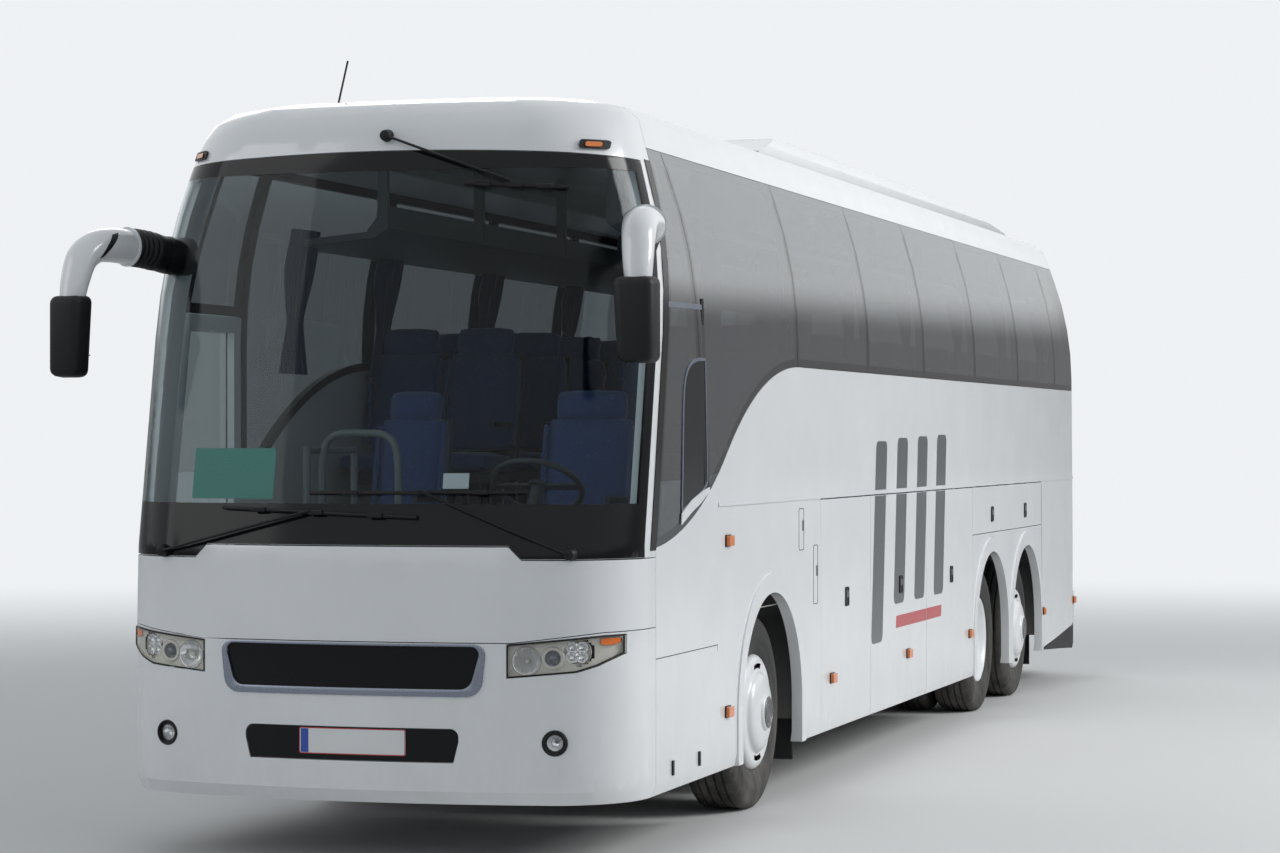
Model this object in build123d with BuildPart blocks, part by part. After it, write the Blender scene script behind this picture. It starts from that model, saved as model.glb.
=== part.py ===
from build123d import *
import os
from math import cos, hypot, radians, sin, sqrt

os.makedirs("parts", exist_ok=True)

# A three-axle coach bus in millimetres: +Z up, the front at -Y, the driver's side at +X.
# The origin is on the ground, under the middle of the whole outline.

# Driving dimensions
HALF_LENGTH = 6400
HALF_WIDTH = 1275
SKIRT_Z = 300
BELT_Z = 1620
GLASS_FOOT_Z = 2345
GLASS_TOP_Z = 3345
ROOF_Z = 3600
WALL = 50
GLASS = 12
GAP = 5
FRONT_AXLE_Y = -3650
DRIVE_AXLE_Y = 2550
TAG_AXLE_Y = 3950
TYRE_R = 512
TYRE_WIDTH = 290
HUB_Z = TYRE_R

# The body's plan curves: a wide bow across each end, joined to the sides by a corner arc.
FRONT_BOW, FRONT_CORNER = 4280, 450
REAR_BOW, REAR_CORNER = 8000, 180
# height, half width, tip of the nose, end of the tail, how far the skin leans towards the roof
LEVELS = (
    (300, 1262, -6360, 6320, 0.0),
    (360, 1275, -6395, 6335, 0.0),
    (1000, 1275, -6400, 6340, 0.0),
    (1450, 1275, -6380, 6335, 0.0),
    (2450, 1275, -6195, 6300, 0.0),
    (2650, 1267, -6158, 6287, 0.0),
    (2850, 1243, -6121, 6268, 0.0),
    (3050, 1202, -6083, 6244, 0.0),
    (3250, 1143, -6045, 6214, 0.1),
    (3400, 1095, -6000, 6176, 0.2),
    (3480, 1070, -5930, 6130, 0.4),
    (3540, 1010, -5840, 6050, 0.7),
    (3575, 880, -5700, 5900, 0.9),
    (3594, 620, -5500, 5700, 1.0),
    (ROOF_Z, 300, -5250, 5500, 1.0),
)

# Seams seen from the side: the front corner seam leans back above the belt, the rear one is upright.
SEAM_FOOT = (-5765, 1466)
SEAM_HEAD = (-5365, 3450)
REAR_SEAM_Y = 6080
SCREEN_EDGE_OFFSET = 150

# The sweep of the side glass, from the front seam up to the straight lower edge
SWEEP_START = (-5790, 1449)
SWEEP_MIDDLE = (-4510, 1895)
SWEEP_END = (-3050, GLASS_FOOT_Z)
SWEEP_R_LOW = 2550
SWEEP_R_HIGH = 2578
PANE_JOINTS = (-3100, -1390, 210, 1920, 3590, 5230)
PANE_END_Y = 6060
POST_FOOT_Y, POST_HEAD_Y = -4850, -5150
PILLAR = 45

# Front view lines
SCREEN_FOOT_Z, SCREEN_NOTCH_Z = 1470, 1410
SCREEN_NOTCH_X = (745, 805)
SCREEN_TOP_Z, SCREEN_TOP_RISE = 3245, 60
SCREEN_BORDER = 60
BUMPER_SEAM = ((0, 1034), (760, 1034), (1150, 1080), (1400, 1088))
GRILLE_HALF, GRILLE_Z = 620, (807, 1020)
# The number plate's recess: half width at the foot and at the top, Z of both, depth
PLATE_RECESS = (500, 524, 490, 646, 28)
FOG_X, FOG_Z, FOG_R = 957, 585, 52
HEADLAMP = ((745, 878), (1050, 905), (1132, 933), (1224, 985), (1224, 1068), (1150, 1066), (745, 1027))
HEADLAMP_MIDDLE_Z = 1000
LAMP_DEPTH_Y = 5980

# Wheel arches
ARCH_R, ARCH_Z = 610, 534
LIP_R, LIP_Z, LIP_PROUD = 698, 552, 9
HOUSING_X, HOUSING_TOP_Z, SHEET = 500, 1215, 20

# Side openings: name, first Y, last Y
LUGGAGE_DOORS = (("a", -2580, -1330), ("b", -1330, 280), ("c", 280, 1820))
SERVICE_FLAP = (1820, 4600, 1280)
HINGE_Z = 1615
DOOR_FRONT_Y, DOOR_REAR_Y, DOOR_SILL_Z, DOOR_TOP_Z = -5757, -4873, 345, 2580
DOOR_RIM, DOOR_BAR_Z, DOOR_BAR, DOOR_KICK_Z = 55, 1330, 45, 600
DOOR_POST = (-1185, -5655)
DOOR_POST_R, DOOR_PIN_R = 22, 12
DOOR_ARM = 550
DOOR_ARM_Z = (485, 1330)
HATCH_HALF, HATCH_Z = 900, (720, 1650)

# Floors
DECK_Z, DECK_T = 1420, 60
CAB_FLOOR_Z = 1040
CAB_REAR_Y = -4550
HOLD_FLOOR_Z = 400
RAIL_X = 380

# Seats: rows of double seats each side of the aisle
ROW_FIRST_Y, ROW_PITCH, ROW_COUNT = -3700, 800, 12

LEFT, RIGHT = 1, -1


def save(piece, name):
    piece.part.label = name
    export_step(piece.part, f"parts/{name}.step")


def end_arcs(half, tip, bow, corner, way):
    """Where the corner arc leaves the side and where it meets the bow, for +X; way is -1 at the front."""
    centre_x = half - corner
    centre_y = tip - way * (bow - sqrt((bow - corner) ** 2 - centre_x**2))
    bow_y = tip - way * bow
    share = bow / hypot(centre_x, centre_y - bow_y)
    return (half, centre_y), (centre_x * share, bow_y + (centre_y - bow_y) * share)


def envelope(inset):
    """The body's outer form, or the same form drawn in by a wall's thickness."""
    with BuildPart() as hull:
        for height, half, nose, tail, lean in LEVELS:
            width = half - inset * (1 - 0.5 * lean)
            front_r = min(FRONT_CORNER - inset, 0.8 * width)
            rear_r = min(REAR_CORNER - inset, 0.6 * width)
            f_side, f_bow = end_arcs(width, nose + inset, FRONT_BOW - inset, front_r, -1)
            r_side, r_bow = end_arcs(width, tail - inset, REAR_BOW - inset, rear_r, 1)
            foot = WALL if inset and height == SKIRT_Z else 0
            with BuildSketch(Plane.XY.offset(height - inset * lean - foot)):
                with BuildLine():
                    Line(r_side, f_side)
                    RadiusArc(f_side, f_bow, front_r)
                    RadiusArc(f_bow, (-f_bow[0], f_bow[1]), FRONT_BOW - inset)
                    RadiusArc((-f_bow[0], f_bow[1]), (-f_side[0], f_side[1]), front_r)
                    Line((-f_side[0], f_side[1]), (-r_side[0], r_side[1]))
                    RadiusArc((-r_side[0], r_side[1]), (-r_bow[0], r_bow[1]), rear_r)
                    RadiusArc((-r_bow[0], r_bow[1]), r_bow, REAR_BOW - inset)
                    RadiusArc(r_bow, r_side, rear_r)
                make_face()
        loft(ruled=True)
    return hull.part


def nose_y(x, z):
    """The outer skin's Y on the front bow at a height."""
    for low, high in zip(LEVELS, LEVELS[1:]):
        if low[0] <= z <= high[0]:
            share = (z - low[0]) / (high[0] - low[0])
            tip = low[2] + share * (high[2] - low[2])
    return tip + FRONT_BOW - sqrt(FRONT_BOW**2 - x**2)


OUTER = envelope(0)
MIDDLE = envelope(GLASS)
INNER = envelope(WALL)
with BuildPart() as wall_shell:
    add(OUTER)
    add(INNER, mode=Mode.SUBTRACT)
with BuildPart() as glass_shell:
    add(OUTER)
    add(MIDDLE, mode=Mode.SUBTRACT)
with BuildPart() as frame_shell:
    add(MIDDLE)
    add(INNER, mode=Mode.SUBTRACT)
WALL_SHELL = wall_shell.part
GLASS_SHELL = glass_shell.part
FRAME_SHELL = frame_shell.part


def seam_y(z):
    """The front corner seam's Y at a height."""
    if z <= SEAM_FOOT[1]:
        return SEAM_FOOT[0]
    slope = (SEAM_HEAD[0] - SEAM_FOOT[0]) / (SEAM_HEAD[1] - SEAM_FOOT[1])
    return SEAM_FOOT[0] + slope * (z - SEAM_FOOT[1])


def side_slab(points, side=0, reach=1500):
    """A prism across the bus from an outline in Y and Z; side 0 runs through both sides."""
    with BuildPart() as slab:
        with BuildSketch(Plane.YZ):
            Polygon(*points, align=None)
        if side == 0:
            extrude(amount=reach, both=True)
        else:
            extrude(amount=side * reach)
    return slab.part


def front_slab(points, reach=7000):
    """A prism that reaches ahead of the bus's middle, from an outline in X and Z."""
    with BuildPart() as slab:
        with BuildSketch(Plane.XZ):
            Polygon(*points, align=None)
        extrude(amount=reach)
    return slab.part


def ahead_of_seam(gap):
    return side_slab(
        (
            (-7000, 200),
            (SEAM_FOOT[0] - gap, 200),
            (SEAM_FOOT[0] - gap, SEAM_FOOT[1]),
            (seam_y(3800) - gap, 3800),
            (-7000, 3800),
        )
    )


def behind_seam(gap):
    return side_slab(
        (
            (SEAM_FOOT[0] + gap, 200),
            (REAR_SEAM_Y - gap, 200),
            (REAR_SEAM_Y - gap, 3800),
            (seam_y(3800) + gap, 3800),
            (SEAM_FOOT[0] + gap, SEAM_FOOT[1]),
        )
    )


def screen_foot_line(drop):
    """The windscreen's lower edge from left to right in the front view."""
    inner, outer = SCREEN_NOTCH_X
    return (
        (-1500, SCREEN_NOTCH_Z - drop),
        (-outer, SCREEN_NOTCH_Z - drop),
        (-inner, SCREEN_FOOT_Z - drop),
        (inner, SCREEN_FOOT_Z - drop),
        (outer, SCREEN_NOTCH_Z - drop),
        (1500, SCREEN_NOTCH_Z - drop),
    )


def screen_block(border):
    """The space that the windscreen takes, drawn in by a border."""
    edge = SCREEN_EDGE_OFFSET + border
    with BuildPart() as block:
        add(
            side_slab(
                (
                    (-7000, 1200),
                    (seam_y(1200) - edge, 1200),
                    (seam_y(SEAM_FOOT[1]) - edge, SEAM_FOOT[1]),
                    (seam_y(3800) - edge, 3800),
                    (-7000, 3800),
                )
            )
        )
        with BuildSketch(Plane.XZ):
            with BuildLine():
                Polyline(*screen_foot_line(-border))
                Line((1500, SCREEN_NOTCH_Z + border), (1500, SCREEN_TOP_Z - border))
                ThreePointArc(
                    (1500, SCREEN_TOP_Z - border),
                    (0, SCREEN_TOP_Z + SCREEN_TOP_RISE - border),
                    (-1500, SCREEN_TOP_Z - border),
                )
                Line((-1500, SCREEN_TOP_Z - border), (-1500, SCREEN_NOTCH_Z + border))
            make_face()
        extrude(amount=7000, mode=Mode.INTERSECT)
    return block.part


def arch_slab(side, centre_y, radius, centre_z, foot, inner, outer):
    """A prism of an arch's outline on one side: a half round on straight legs."""
    with BuildPart() as slab:
        with BuildSketch(Plane.YZ.offset(side * inner)):
            with BuildLine():
                Line((centre_y - radius, foot), (centre_y - radius, centre_z))
                RadiusArc((centre_y - radius, centre_z), (centre_y + radius, centre_z), radius)
                Line((centre_y + radius, centre_z), (centre_y + radius, foot))
                Line((centre_y + radius, foot), (centre_y - radius, foot))
            make_face()
        extrude(amount=side * (outer - inner))
    return slab.part


# The windscreen and the panels of the front
with BuildPart() as windscreen:
    add(GLASS_SHELL)
    add(screen_block(4), mode=Mode.INTERSECT)
save(windscreen, "windscreen")

bumper_line = tuple((-x, z) for x, z in reversed(BUMPER_SEAM[1:])) + BUMPER_SEAM[1:]

with BuildPart() as screen_rebate:
    add(GLASS_SHELL)
    add(screen_block(0), mode=Mode.INTERSECT)

with BuildPart() as front_cap:
    add(WALL_SHELL)
    add(ahead_of_seam(2), mode=Mode.INTERSECT)
    add(front_slab(screen_foot_line(0) + ((1500, 3800), (-1500, 3800))), mode=Mode.INTERSECT)
    add(screen_rebate.part, mode=Mode.SUBTRACT)
    add(screen_block(SCREEN_BORDER), mode=Mode.SUBTRACT)
save(front_cap, "front_cap")

with BuildPart() as front_panel:
    add(WALL_SHELL)
    add(ahead_of_seam(2), mode=Mode.INTERSECT)
    lower = tuple((x, z + 2) for x, z in bumper_line)
    add(front_slab(lower + tuple(reversed(screen_foot_line(4)))), mode=Mode.INTERSECT)
save(front_panel, "front_panel")


def headlamp_block(grow):
    """Both headlamps' outline in the front view, taller and wider by a clearance."""
    with BuildPart() as block:
        for side in (LEFT, RIGHT):
            with BuildSketch(Plane.XZ.offset(LAMP_DEPTH_Y)):
                Polygon(
                    *[
                        (side * (x + (grow if x > 1000 else -grow)), z + (grow if z > HEADLAMP_MIDDLE_Z else -grow))
                        for x, z in HEADLAMP
                    ],
                    align=None,
                )
            extrude(amount=1000)
    return block.part


recess_foot, recess_top, recess_low, recess_high, recess_depth = PLATE_RECESS
with BuildPart() as plate_recess:
    add(OUTER)
    add(envelope(recess_depth), mode=Mode.SUBTRACT)
    with BuildSketch(Plane.XZ.offset(5700)):
        Polygon((-recess_foot, recess_low), (recess_foot, recess_low), (recess_top, recess_high - 60),
                (recess_top, recess_high), (-recess_top, recess_high), (-recess_top, recess_high - 60), align=None)
        fillet(vertices(Select.LAST).group_by(Axis.Y)[-1], 40)
    extrude(amount=1000, mode=Mode.INTERSECT)

with BuildPart() as front_bumper:
    add(WALL_SHELL)
    add(ahead_of_seam(2), mode=Mode.INTERSECT)
    upper = tuple((x, z - 2) for x, z in bumper_line)
    add(front_slab(((-1500, 200),) + upper + ((1500, 200),)), mode=Mode.INTERSECT)
    add(headlamp_block(3), mode=Mode.SUBTRACT)
    with BuildSketch(Plane.XZ.offset(5700)):
        with Locations((0, sum(GRILLE_Z) / 2)):
            RectangleRounded(2 * GRILLE_HALF, GRILLE_Z[1] - GRILLE_Z[0], 30)
        with Locations((FOG_X, FOG_Z), (-FOG_X, FOG_Z)):
            Circle(FOG_R + 2)
    extrude(amount=1000, mode=Mode.SUBTRACT)
    add(plate_recess.part, mode=Mode.SUBTRACT)
save(front_bumper, "front_bumper")

with BuildPart() as lamp_zone:
    add(headlamp_block(0))
    with BuildSketch(Plane.XZ.offset(5700)):
        with Locations((FOG_X, FOG_Z), (-FOG_X, FOG_Z)):
            Circle(FOG_R)
    extrude(amount=1000)

with BuildPart() as headlamps:
    add(WALL_SHELL)
    add(lamp_zone.part, mode=Mode.INTERSECT)
save(headlamps, "headlamps")

with BuildPart() as grille_zone:
    with BuildSketch(Plane.XZ.offset(5700)):
        with Locations((0, sum(GRILLE_Z) / 2)):
            RectangleRounded(2 * GRILLE_HALF - 4, GRILLE_Z[1] - GRILLE_Z[0] - 4, 28)
            with GridLocations(0, 160, 1, 2):
                Rectangle(2 * GRILLE_HALF - 120, 10, mode=Mode.SUBTRACT)
    extrude(amount=1000)

with BuildPart() as front_grille:
    add(FRAME_SHELL)
    add(grille_zone.part, mode=Mode.INTERSECT)
save(front_grille, "front_grille")

# The side glass's whole outline: the sweep up from the front seam, then the straight lower edge
with BuildSketch() as glass_belt:
    with BuildLine():
        RadiusArc(SWEEP_START, SWEEP_MIDDLE, -SWEEP_R_LOW)
        RadiusArc(SWEEP_MIDDLE, SWEEP_END, SWEEP_R_HIGH)
        Line(SWEEP_END, (REAR_SEAM_Y, GLASS_FOOT_Z))
        Line((REAR_SEAM_Y, GLASS_FOOT_Z), (REAR_SEAM_Y, GLASS_TOP_Z))
        Line((REAR_SEAM_Y, GLASS_TOP_Z), (SWEEP_START[0], GLASS_TOP_Z))
        Line((SWEEP_START[0], GLASS_TOP_Z), SWEEP_START)
    make_face()
GLASS_BELT = glass_belt.sketch


def belt_slab(side):
    """Everything inside the side glass's outline, on one side."""
    with BuildPart() as slab:
        with BuildSketch(Plane.YZ):
            add(GLASS_BELT)
        extrude(amount=side * 1500)
    return slab.part


def yz_box(side, first, last, low, high, inner=1000, outer=1500):
    """A block on one side of the bus between two Y and two Z values."""
    with BuildPart() as block:
        with BuildSketch(Plane.YZ.offset(side * inner)):
            Polygon((first, low), (last, low), (last, high), (first, high), align=None)
        extrude(amount=side * (outer - inner))
    return block.part


# The side walls, with their arches, and the luggage doors and flaps that close them
LUGGAGE_FIRST, LUGGAGE_LAST = LUGGAGE_DOORS[0][1], LUGGAGE_DOORS[-1][2]
ARCH_CENTRES = (FRONT_AXLE_Y, DRIVE_AXLE_Y, TAG_AXLE_Y)
MOULDING_Y = (-4700, 6070)
DOORWAY = (DOOR_FRONT_Y - 60, DOOR_REAR_Y + GAP, 200, DOOR_TOP_Z + GAP)


LOWER_HALF = ((-7000, 200), (7000, 200), (7000, GLASS_FOOT_Z), (-7000, GLASS_FOOT_Z))
REAR_KICK = ((4590, 200), (4590, 304), (5950, 411), (6200, 431), (6200, 200))


def side_wall(side):
    with BuildPart() as wall:
        add(WALL_SHELL)
        add(behind_seam(2), mode=Mode.INTERSECT)
        add(side_slab(LOWER_HALF, side), mode=Mode.INTERSECT)
        add(belt_slab(side), mode=Mode.SUBTRACT)
        for centre_y in ARCH_CENTRES:
            lip_inner, lip_outer = HALF_WIDTH - WALL, HALF_WIDTH + LIP_PROUD
            add(arch_slab(side, centre_y, LIP_R, LIP_Z, SKIRT_Z, lip_inner, lip_outer))
        for centre_y in ARCH_CENTRES:
            add(arch_slab(side, centre_y, ARCH_R, ARCH_Z, 200, 1000, 1500), mode=Mode.SUBTRACT)
        add(side_slab(REAR_KICK, side), mode=Mode.SUBTRACT)
        add(yz_box(side, LUGGAGE_FIRST, LUGGAGE_LAST, 200, BELT_Z), mode=Mode.SUBTRACT)
        add(yz_box(side, SERVICE_FLAP[0], SERVICE_FLAP[1], SERVICE_FLAP[2], BELT_Z), mode=Mode.SUBTRACT)
        add(yz_box(side, MOULDING_Y[0], MOULDING_Y[1], BELT_Z, BELT_Z + 22, HALF_WIDTH - 10, HALF_WIDTH + 8))
        if side == RIGHT:
            add(yz_box(side, *DOORWAY), mode=Mode.SUBTRACT)
    return wall


save(side_wall(LEFT), "side_wall_left")
save(side_wall(RIGHT), "side_wall_right")

for side, side_name in ((LEFT, "left"), (RIGHT, "right")):
    for letter, first, last in LUGGAGE_DOORS:
        with BuildPart() as luggage_door:
            add(WALL_SHELL)
            add(yz_box(side, first + 3, last - 3, 200, HINGE_Z - 2), mode=Mode.INTERSECT)
        save(luggage_door, f"luggage_door_{side_name}_{letter}")
    with BuildPart() as service_flap:
        add(WALL_SHELL)
        add(yz_box(side, SERVICE_FLAP[0] + 3, SERVICE_FLAP[1] - GAP, SERVICE_FLAP[2] + GAP, HINGE_Z - 2),
            mode=Mode.INTERSECT)
    save(service_flap, f"service_flap_{side_name}")


# Side glass: name, outline; the driver's pane ends at a slanted post, the rest at upright joints
def pane_outlines(side):
    """Each pane's corner points above the sweep, from the front to the rear."""
    head, foot = GLASS_TOP_Z, 1300
    if side == LEFT:
        post = ((POST_HEAD_Y, head), (POST_FOOT_Y - 60, foot))
        outlines = [((seam_y(foot), foot), post[1], post[0], (seam_y(head), head), SEAM_FOOT)]
        outlines.append(((post[1][0], foot), (PANE_JOINTS[0], foot), (PANE_JOINTS[0], head), post[0]))
    else:
        sill = DOOR_TOP_Z + 2 * GAP
        rear = DOOR_REAR_Y + 30
        outlines = [((seam_y(sill), sill), (rear, sill), (rear, head), (seam_y(head), head))]
        outlines.append(((rear, foot), (PANE_JOINTS[0], foot), (PANE_JOINTS[0], head), (rear, head)))
    edges = PANE_JOINTS + (PANE_END_Y,)
    for first, last in zip(edges, edges[1:]):
        outlines.append(((first, foot), (last, foot), (last, head), (first, head)))
    return outlines


def pane_slab(side, outline, inset):
    """One pane's prism, drawn in from the joints and from the sweep."""
    with BuildPart() as slab:
        with BuildSketch(Plane.YZ):
            add(GLASS_BELT)
            Polygon(*outline, align=None, mode=Mode.INTERSECT)
            offset(amount=-inset, mode=Mode.REPLACE)
        extrude(amount=side * 1500)
    return slab.part


with BuildPart() as pane_zone:
    for side in (LEFT, RIGHT):
        for outline in pane_outlines(side):
            add(pane_slab(side, outline, 3))

with BuildPart() as side_glass:
    add(GLASS_SHELL)
    add(pane_zone.part, mode=Mode.INTERSECT)
save(side_glass, "side_glass")

for side, side_name in ((LEFT, "left"), (RIGHT, "right")):
    with BuildPart() as window_frame:
        add(FRAME_SHELL)
        add(behind_seam(2), mode=Mode.INTERSECT)
        add(belt_slab(side), mode=Mode.INTERSECT)
        for outline in pane_outlines(side):
            add(pane_slab(side, outline, PILLAR), mode=Mode.SUBTRACT)
        for joint_y in PANE_JOINTS:
            add(yz_box(side, joint_y - 1, joint_y + 1, 1300, GLASS_TOP_Z), mode=Mode.SUBTRACT)
        if side == LEFT:
            add(side_slab(((POST_FOOT_Y - 61, 1300), (POST_FOOT_Y - 59, 1300), (POST_HEAD_Y + 1, GLASS_TOP_Z),
                           (POST_HEAD_Y - 1, GLASS_TOP_Z)), side), mode=Mode.SUBTRACT)
        else:
            header_end = DOOR_REAR_Y + 30
            add(yz_box(side, header_end - 1, header_end + 1, 1300, GLASS_TOP_Z), mode=Mode.SUBTRACT)
            add(yz_box(side, *DOORWAY), mode=Mode.SUBTRACT)
    save(window_frame, f"window_frame_{side_name}")

with BuildPart() as roof_shell:
    add(WALL_SHELL)
    add(behind_seam(2), mode=Mode.INTERSECT)
    add(side_slab(((-7000, GLASS_TOP_Z), (7000, GLASS_TOP_Z), (7000, 3800), (-7000, 3800))), mode=Mode.INTERSECT)
save(roof_shell, "roof_shell")


# The passenger door on the right: a leaf with two panes, carried on a post with two swinging arms
DOOR_OUTLINE = (
    (DOOR_FRONT_Y, DOOR_SILL_Z),
    (DOOR_FRONT_Y, SEAM_FOOT[1]),
    (seam_y(DOOR_TOP_Z) + 8, DOOR_TOP_Z),
    (DOOR_REAR_Y, DOOR_TOP_Z),
    (DOOR_REAR_Y, DOOR_SILL_Z),
)


def door_panes(inset):
    """The two panes' prisms, drawn in from the leaf's edge, its middle bar and its kick panel."""
    middle_y = (DOOR_FRONT_Y + DOOR_REAR_Y) / 2
    with BuildPart() as slab:
        with BuildSketch(Plane.YZ):
            Polygon(*DOOR_OUTLINE, align=None)
            offset(amount=-DOOR_RIM - inset, mode=Mode.REPLACE)
            with Locations((middle_y, DOOR_BAR_Z)):
                Rectangle(2000, 2 * (DOOR_BAR + inset), mode=Mode.SUBTRACT)
            with Locations((middle_y, DOOR_SILL_Z)):
                Rectangle(2000, 2 * (DOOR_KICK_Z + inset - DOOR_SILL_Z), mode=Mode.SUBTRACT)
        extrude(amount=-1500)
    return slab.part


with BuildPart() as front_door_glass:
    add(GLASS_SHELL)
    add(door_panes(0), mode=Mode.INTERSECT)
save(front_door_glass, "front_door_glass")

leaf_pivot_y = DOOR_POST[1] + DOOR_ARM
with BuildPart() as front_door:
    add(WALL_SHELL)
    add(side_slab(DOOR_OUTLINE, RIGHT), mode=Mode.INTERSECT)
    add(front_door_glass.part, mode=Mode.SUBTRACT)
    add(door_panes(25), mode=Mode.SUBTRACT)
    for arm_z in DOOR_ARM_Z:
        for plate_z in (arm_z - 36, arm_z + 24):
            with BuildSketch(Plane.XY.offset(plate_z)):
                with Locations((DOOR_POST[0] - 20, leaf_pivot_y)):
                    Rectangle(44, 60)
                with Locations((DOOR_POST[0], leaf_pivot_y)):
                    Circle(26)
            extrude(amount=12)
        with BuildSketch(Plane.XY.offset(arm_z - 36)):
            with Locations((DOOR_POST[0], leaf_pivot_y)):
                Circle(DOOR_PIN_R)
        extrude(amount=72)
        with BuildSketch(Plane.YZ.offset(-(HALF_WIDTH - WALL))):
            with Locations((leaf_pivot_y, arm_z)):
                Rectangle(90, 120)
        extrude(amount=6)
save(front_door, "front_door")

POST_Z = (445, 1400)
with BuildPart() as door_arms:
    with BuildSketch(Plane.XY.offset(POST_Z[0])):
        with Locations(DOOR_POST):
            Circle(DOOR_POST_R)
    extrude(amount=POST_Z[1] - POST_Z[0])
    for arm_z in DOOR_ARM_Z:
        with BuildSketch(Plane.XY.offset(arm_z - 20)):
            with Locations(DOOR_POST):
                Circle(34)
            with Locations((DOOR_POST[0], leaf_pivot_y)):
                Circle(24)
            with Locations((DOOR_POST[0], DOOR_POST[1] + DOOR_ARM / 2)):
                Rectangle(26, DOOR_ARM)
            with Locations((DOOR_POST[0], leaf_pivot_y)):
                Circle(DOOR_PIN_R + 0.3, mode=Mode.SUBTRACT)
        extrude(amount=40)
save(door_arms, "door_arms")


# The rear end: hatch, panel with its window, bumper
def rear_slab(points):
    """A prism that reaches behind the bus's middle, from an outline in X and Z."""
    with BuildPart() as slab:
        with BuildSketch(Plane.XZ):
            Polygon(*points, align=None)
        extrude(amount=-7000)
    return slab.part


def rear_rect(half, low, high, radius, first_y=5600):
    """A rounded prism through the rear wall."""
    with BuildPart() as block:
        with BuildSketch(Plane.XZ.offset(-first_y)):
            with Locations((0, (low + high) / 2)):
                RectangleRounded(2 * half, high - low, radius)
        extrude(amount=-1000)
    return block.part


BEHIND_REAR_SEAM = side_slab(((REAR_SEAM_Y + 2, 200), (7000, 200), (7000, 3800), (REAR_SEAM_Y + 2, 3800)))
REAR_BUMPER_TOP, REAR_CORNER_TOP, REAR_FOOT = 700, 1020, 430
REAR_WINDOW = (1010, 2150, 3120, 90)

with BuildPart() as engine_hatch:
    add(WALL_SHELL)
    add(rear_rect(HATCH_HALF, HATCH_Z[0], HATCH_Z[1], 30), mode=Mode.INTERSECT)
save(engine_hatch, "engine_hatch")

with BuildPart() as rear_glass:
    add(GLASS_SHELL)
    add(rear_rect(*REAR_WINDOW), mode=Mode.INTERSECT)
save(rear_glass, "rear_glass")

bumper_top_line = (
    (-1500, REAR_CORNER_TOP),
    (-HATCH_HALF - 10, REAR_CORNER_TOP),
    (-HATCH_HALF - 10, REAR_BUMPER_TOP),
    (HATCH_HALF + 10, REAR_BUMPER_TOP),
    (HATCH_HALF + 10, REAR_CORNER_TOP),
    (1500, REAR_CORNER_TOP),
)
with BuildPart() as rear_panel:
    add(WALL_SHELL)
    add(BEHIND_REAR_SEAM, mode=Mode.INTERSECT)
    add(rear_slab(((-1500, 3800),) + tuple((x, z + 4) for x, z in bumper_top_line) + ((1500, 3800),)),
        mode=Mode.INTERSECT)
    add(rear_rect(HATCH_HALF + GAP, HATCH_Z[0] - 100, HATCH_Z[1] + GAP, 30), mode=Mode.SUBTRACT)
    add(rear_glass.part, mode=Mode.SUBTRACT)
    add(rear_rect(REAR_WINDOW[0] - 40, REAR_WINDOW[1] + 40, REAR_WINDOW[2] - 40, 70), mode=Mode.SUBTRACT)
save(rear_panel, "rear_panel")

with BuildPart() as rear_bumper:
    add(WALL_SHELL)
    add(BEHIND_REAR_SEAM, mode=Mode.INTERSECT)
    add(rear_slab(((-1500, REAR_FOOT),) + bumper_top_line + ((1500, REAR_FOOT),)), mode=Mode.INTERSECT)
    r_side, r_bow = end_arcs(HALF_WIDTH, HALF_LENGTH, REAR_BOW, REAR_CORNER, 1)
    i_side, i_bow = end_arcs(HALF_WIDTH - WALL, HALF_LENGTH - 110, REAR_BOW, REAR_CORNER - WALL, 1)
    with BuildSketch(Plane.XY.offset(REAR_FOOT)):
        with BuildLine():
            RadiusArc((-r_side[0], r_side[1]), (-r_bow[0], r_bow[1]), REAR_CORNER)
            RadiusArc((-r_bow[0], r_bow[1]), r_bow, REAR_BOW)
            RadiusArc(r_bow, r_side, REAR_CORNER)
            Line(r_side, (i_side[0], r_side[1]))
            Line((i_side[0], r_side[1]), i_side)
            RadiusArc(i_side, i_bow, -(REAR_CORNER - WALL))
            RadiusArc(i_bow, (-i_bow[0], i_bow[1]), -REAR_BOW)
            RadiusArc((-i_bow[0], i_bow[1]), (-i_side[0], i_side[1]), -(REAR_CORNER - WALL))
            Line((-i_side[0], i_side[1]), (-i_side[0], r_side[1]))
            Line((-i_side[0], r_side[1]), (-r_side[0], r_side[1]))
        make_face()
    extrude(amount=REAR_BUMPER_TOP - 10 - REAR_FOOT)
save(rear_bumper, "rear_bumper")


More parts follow.
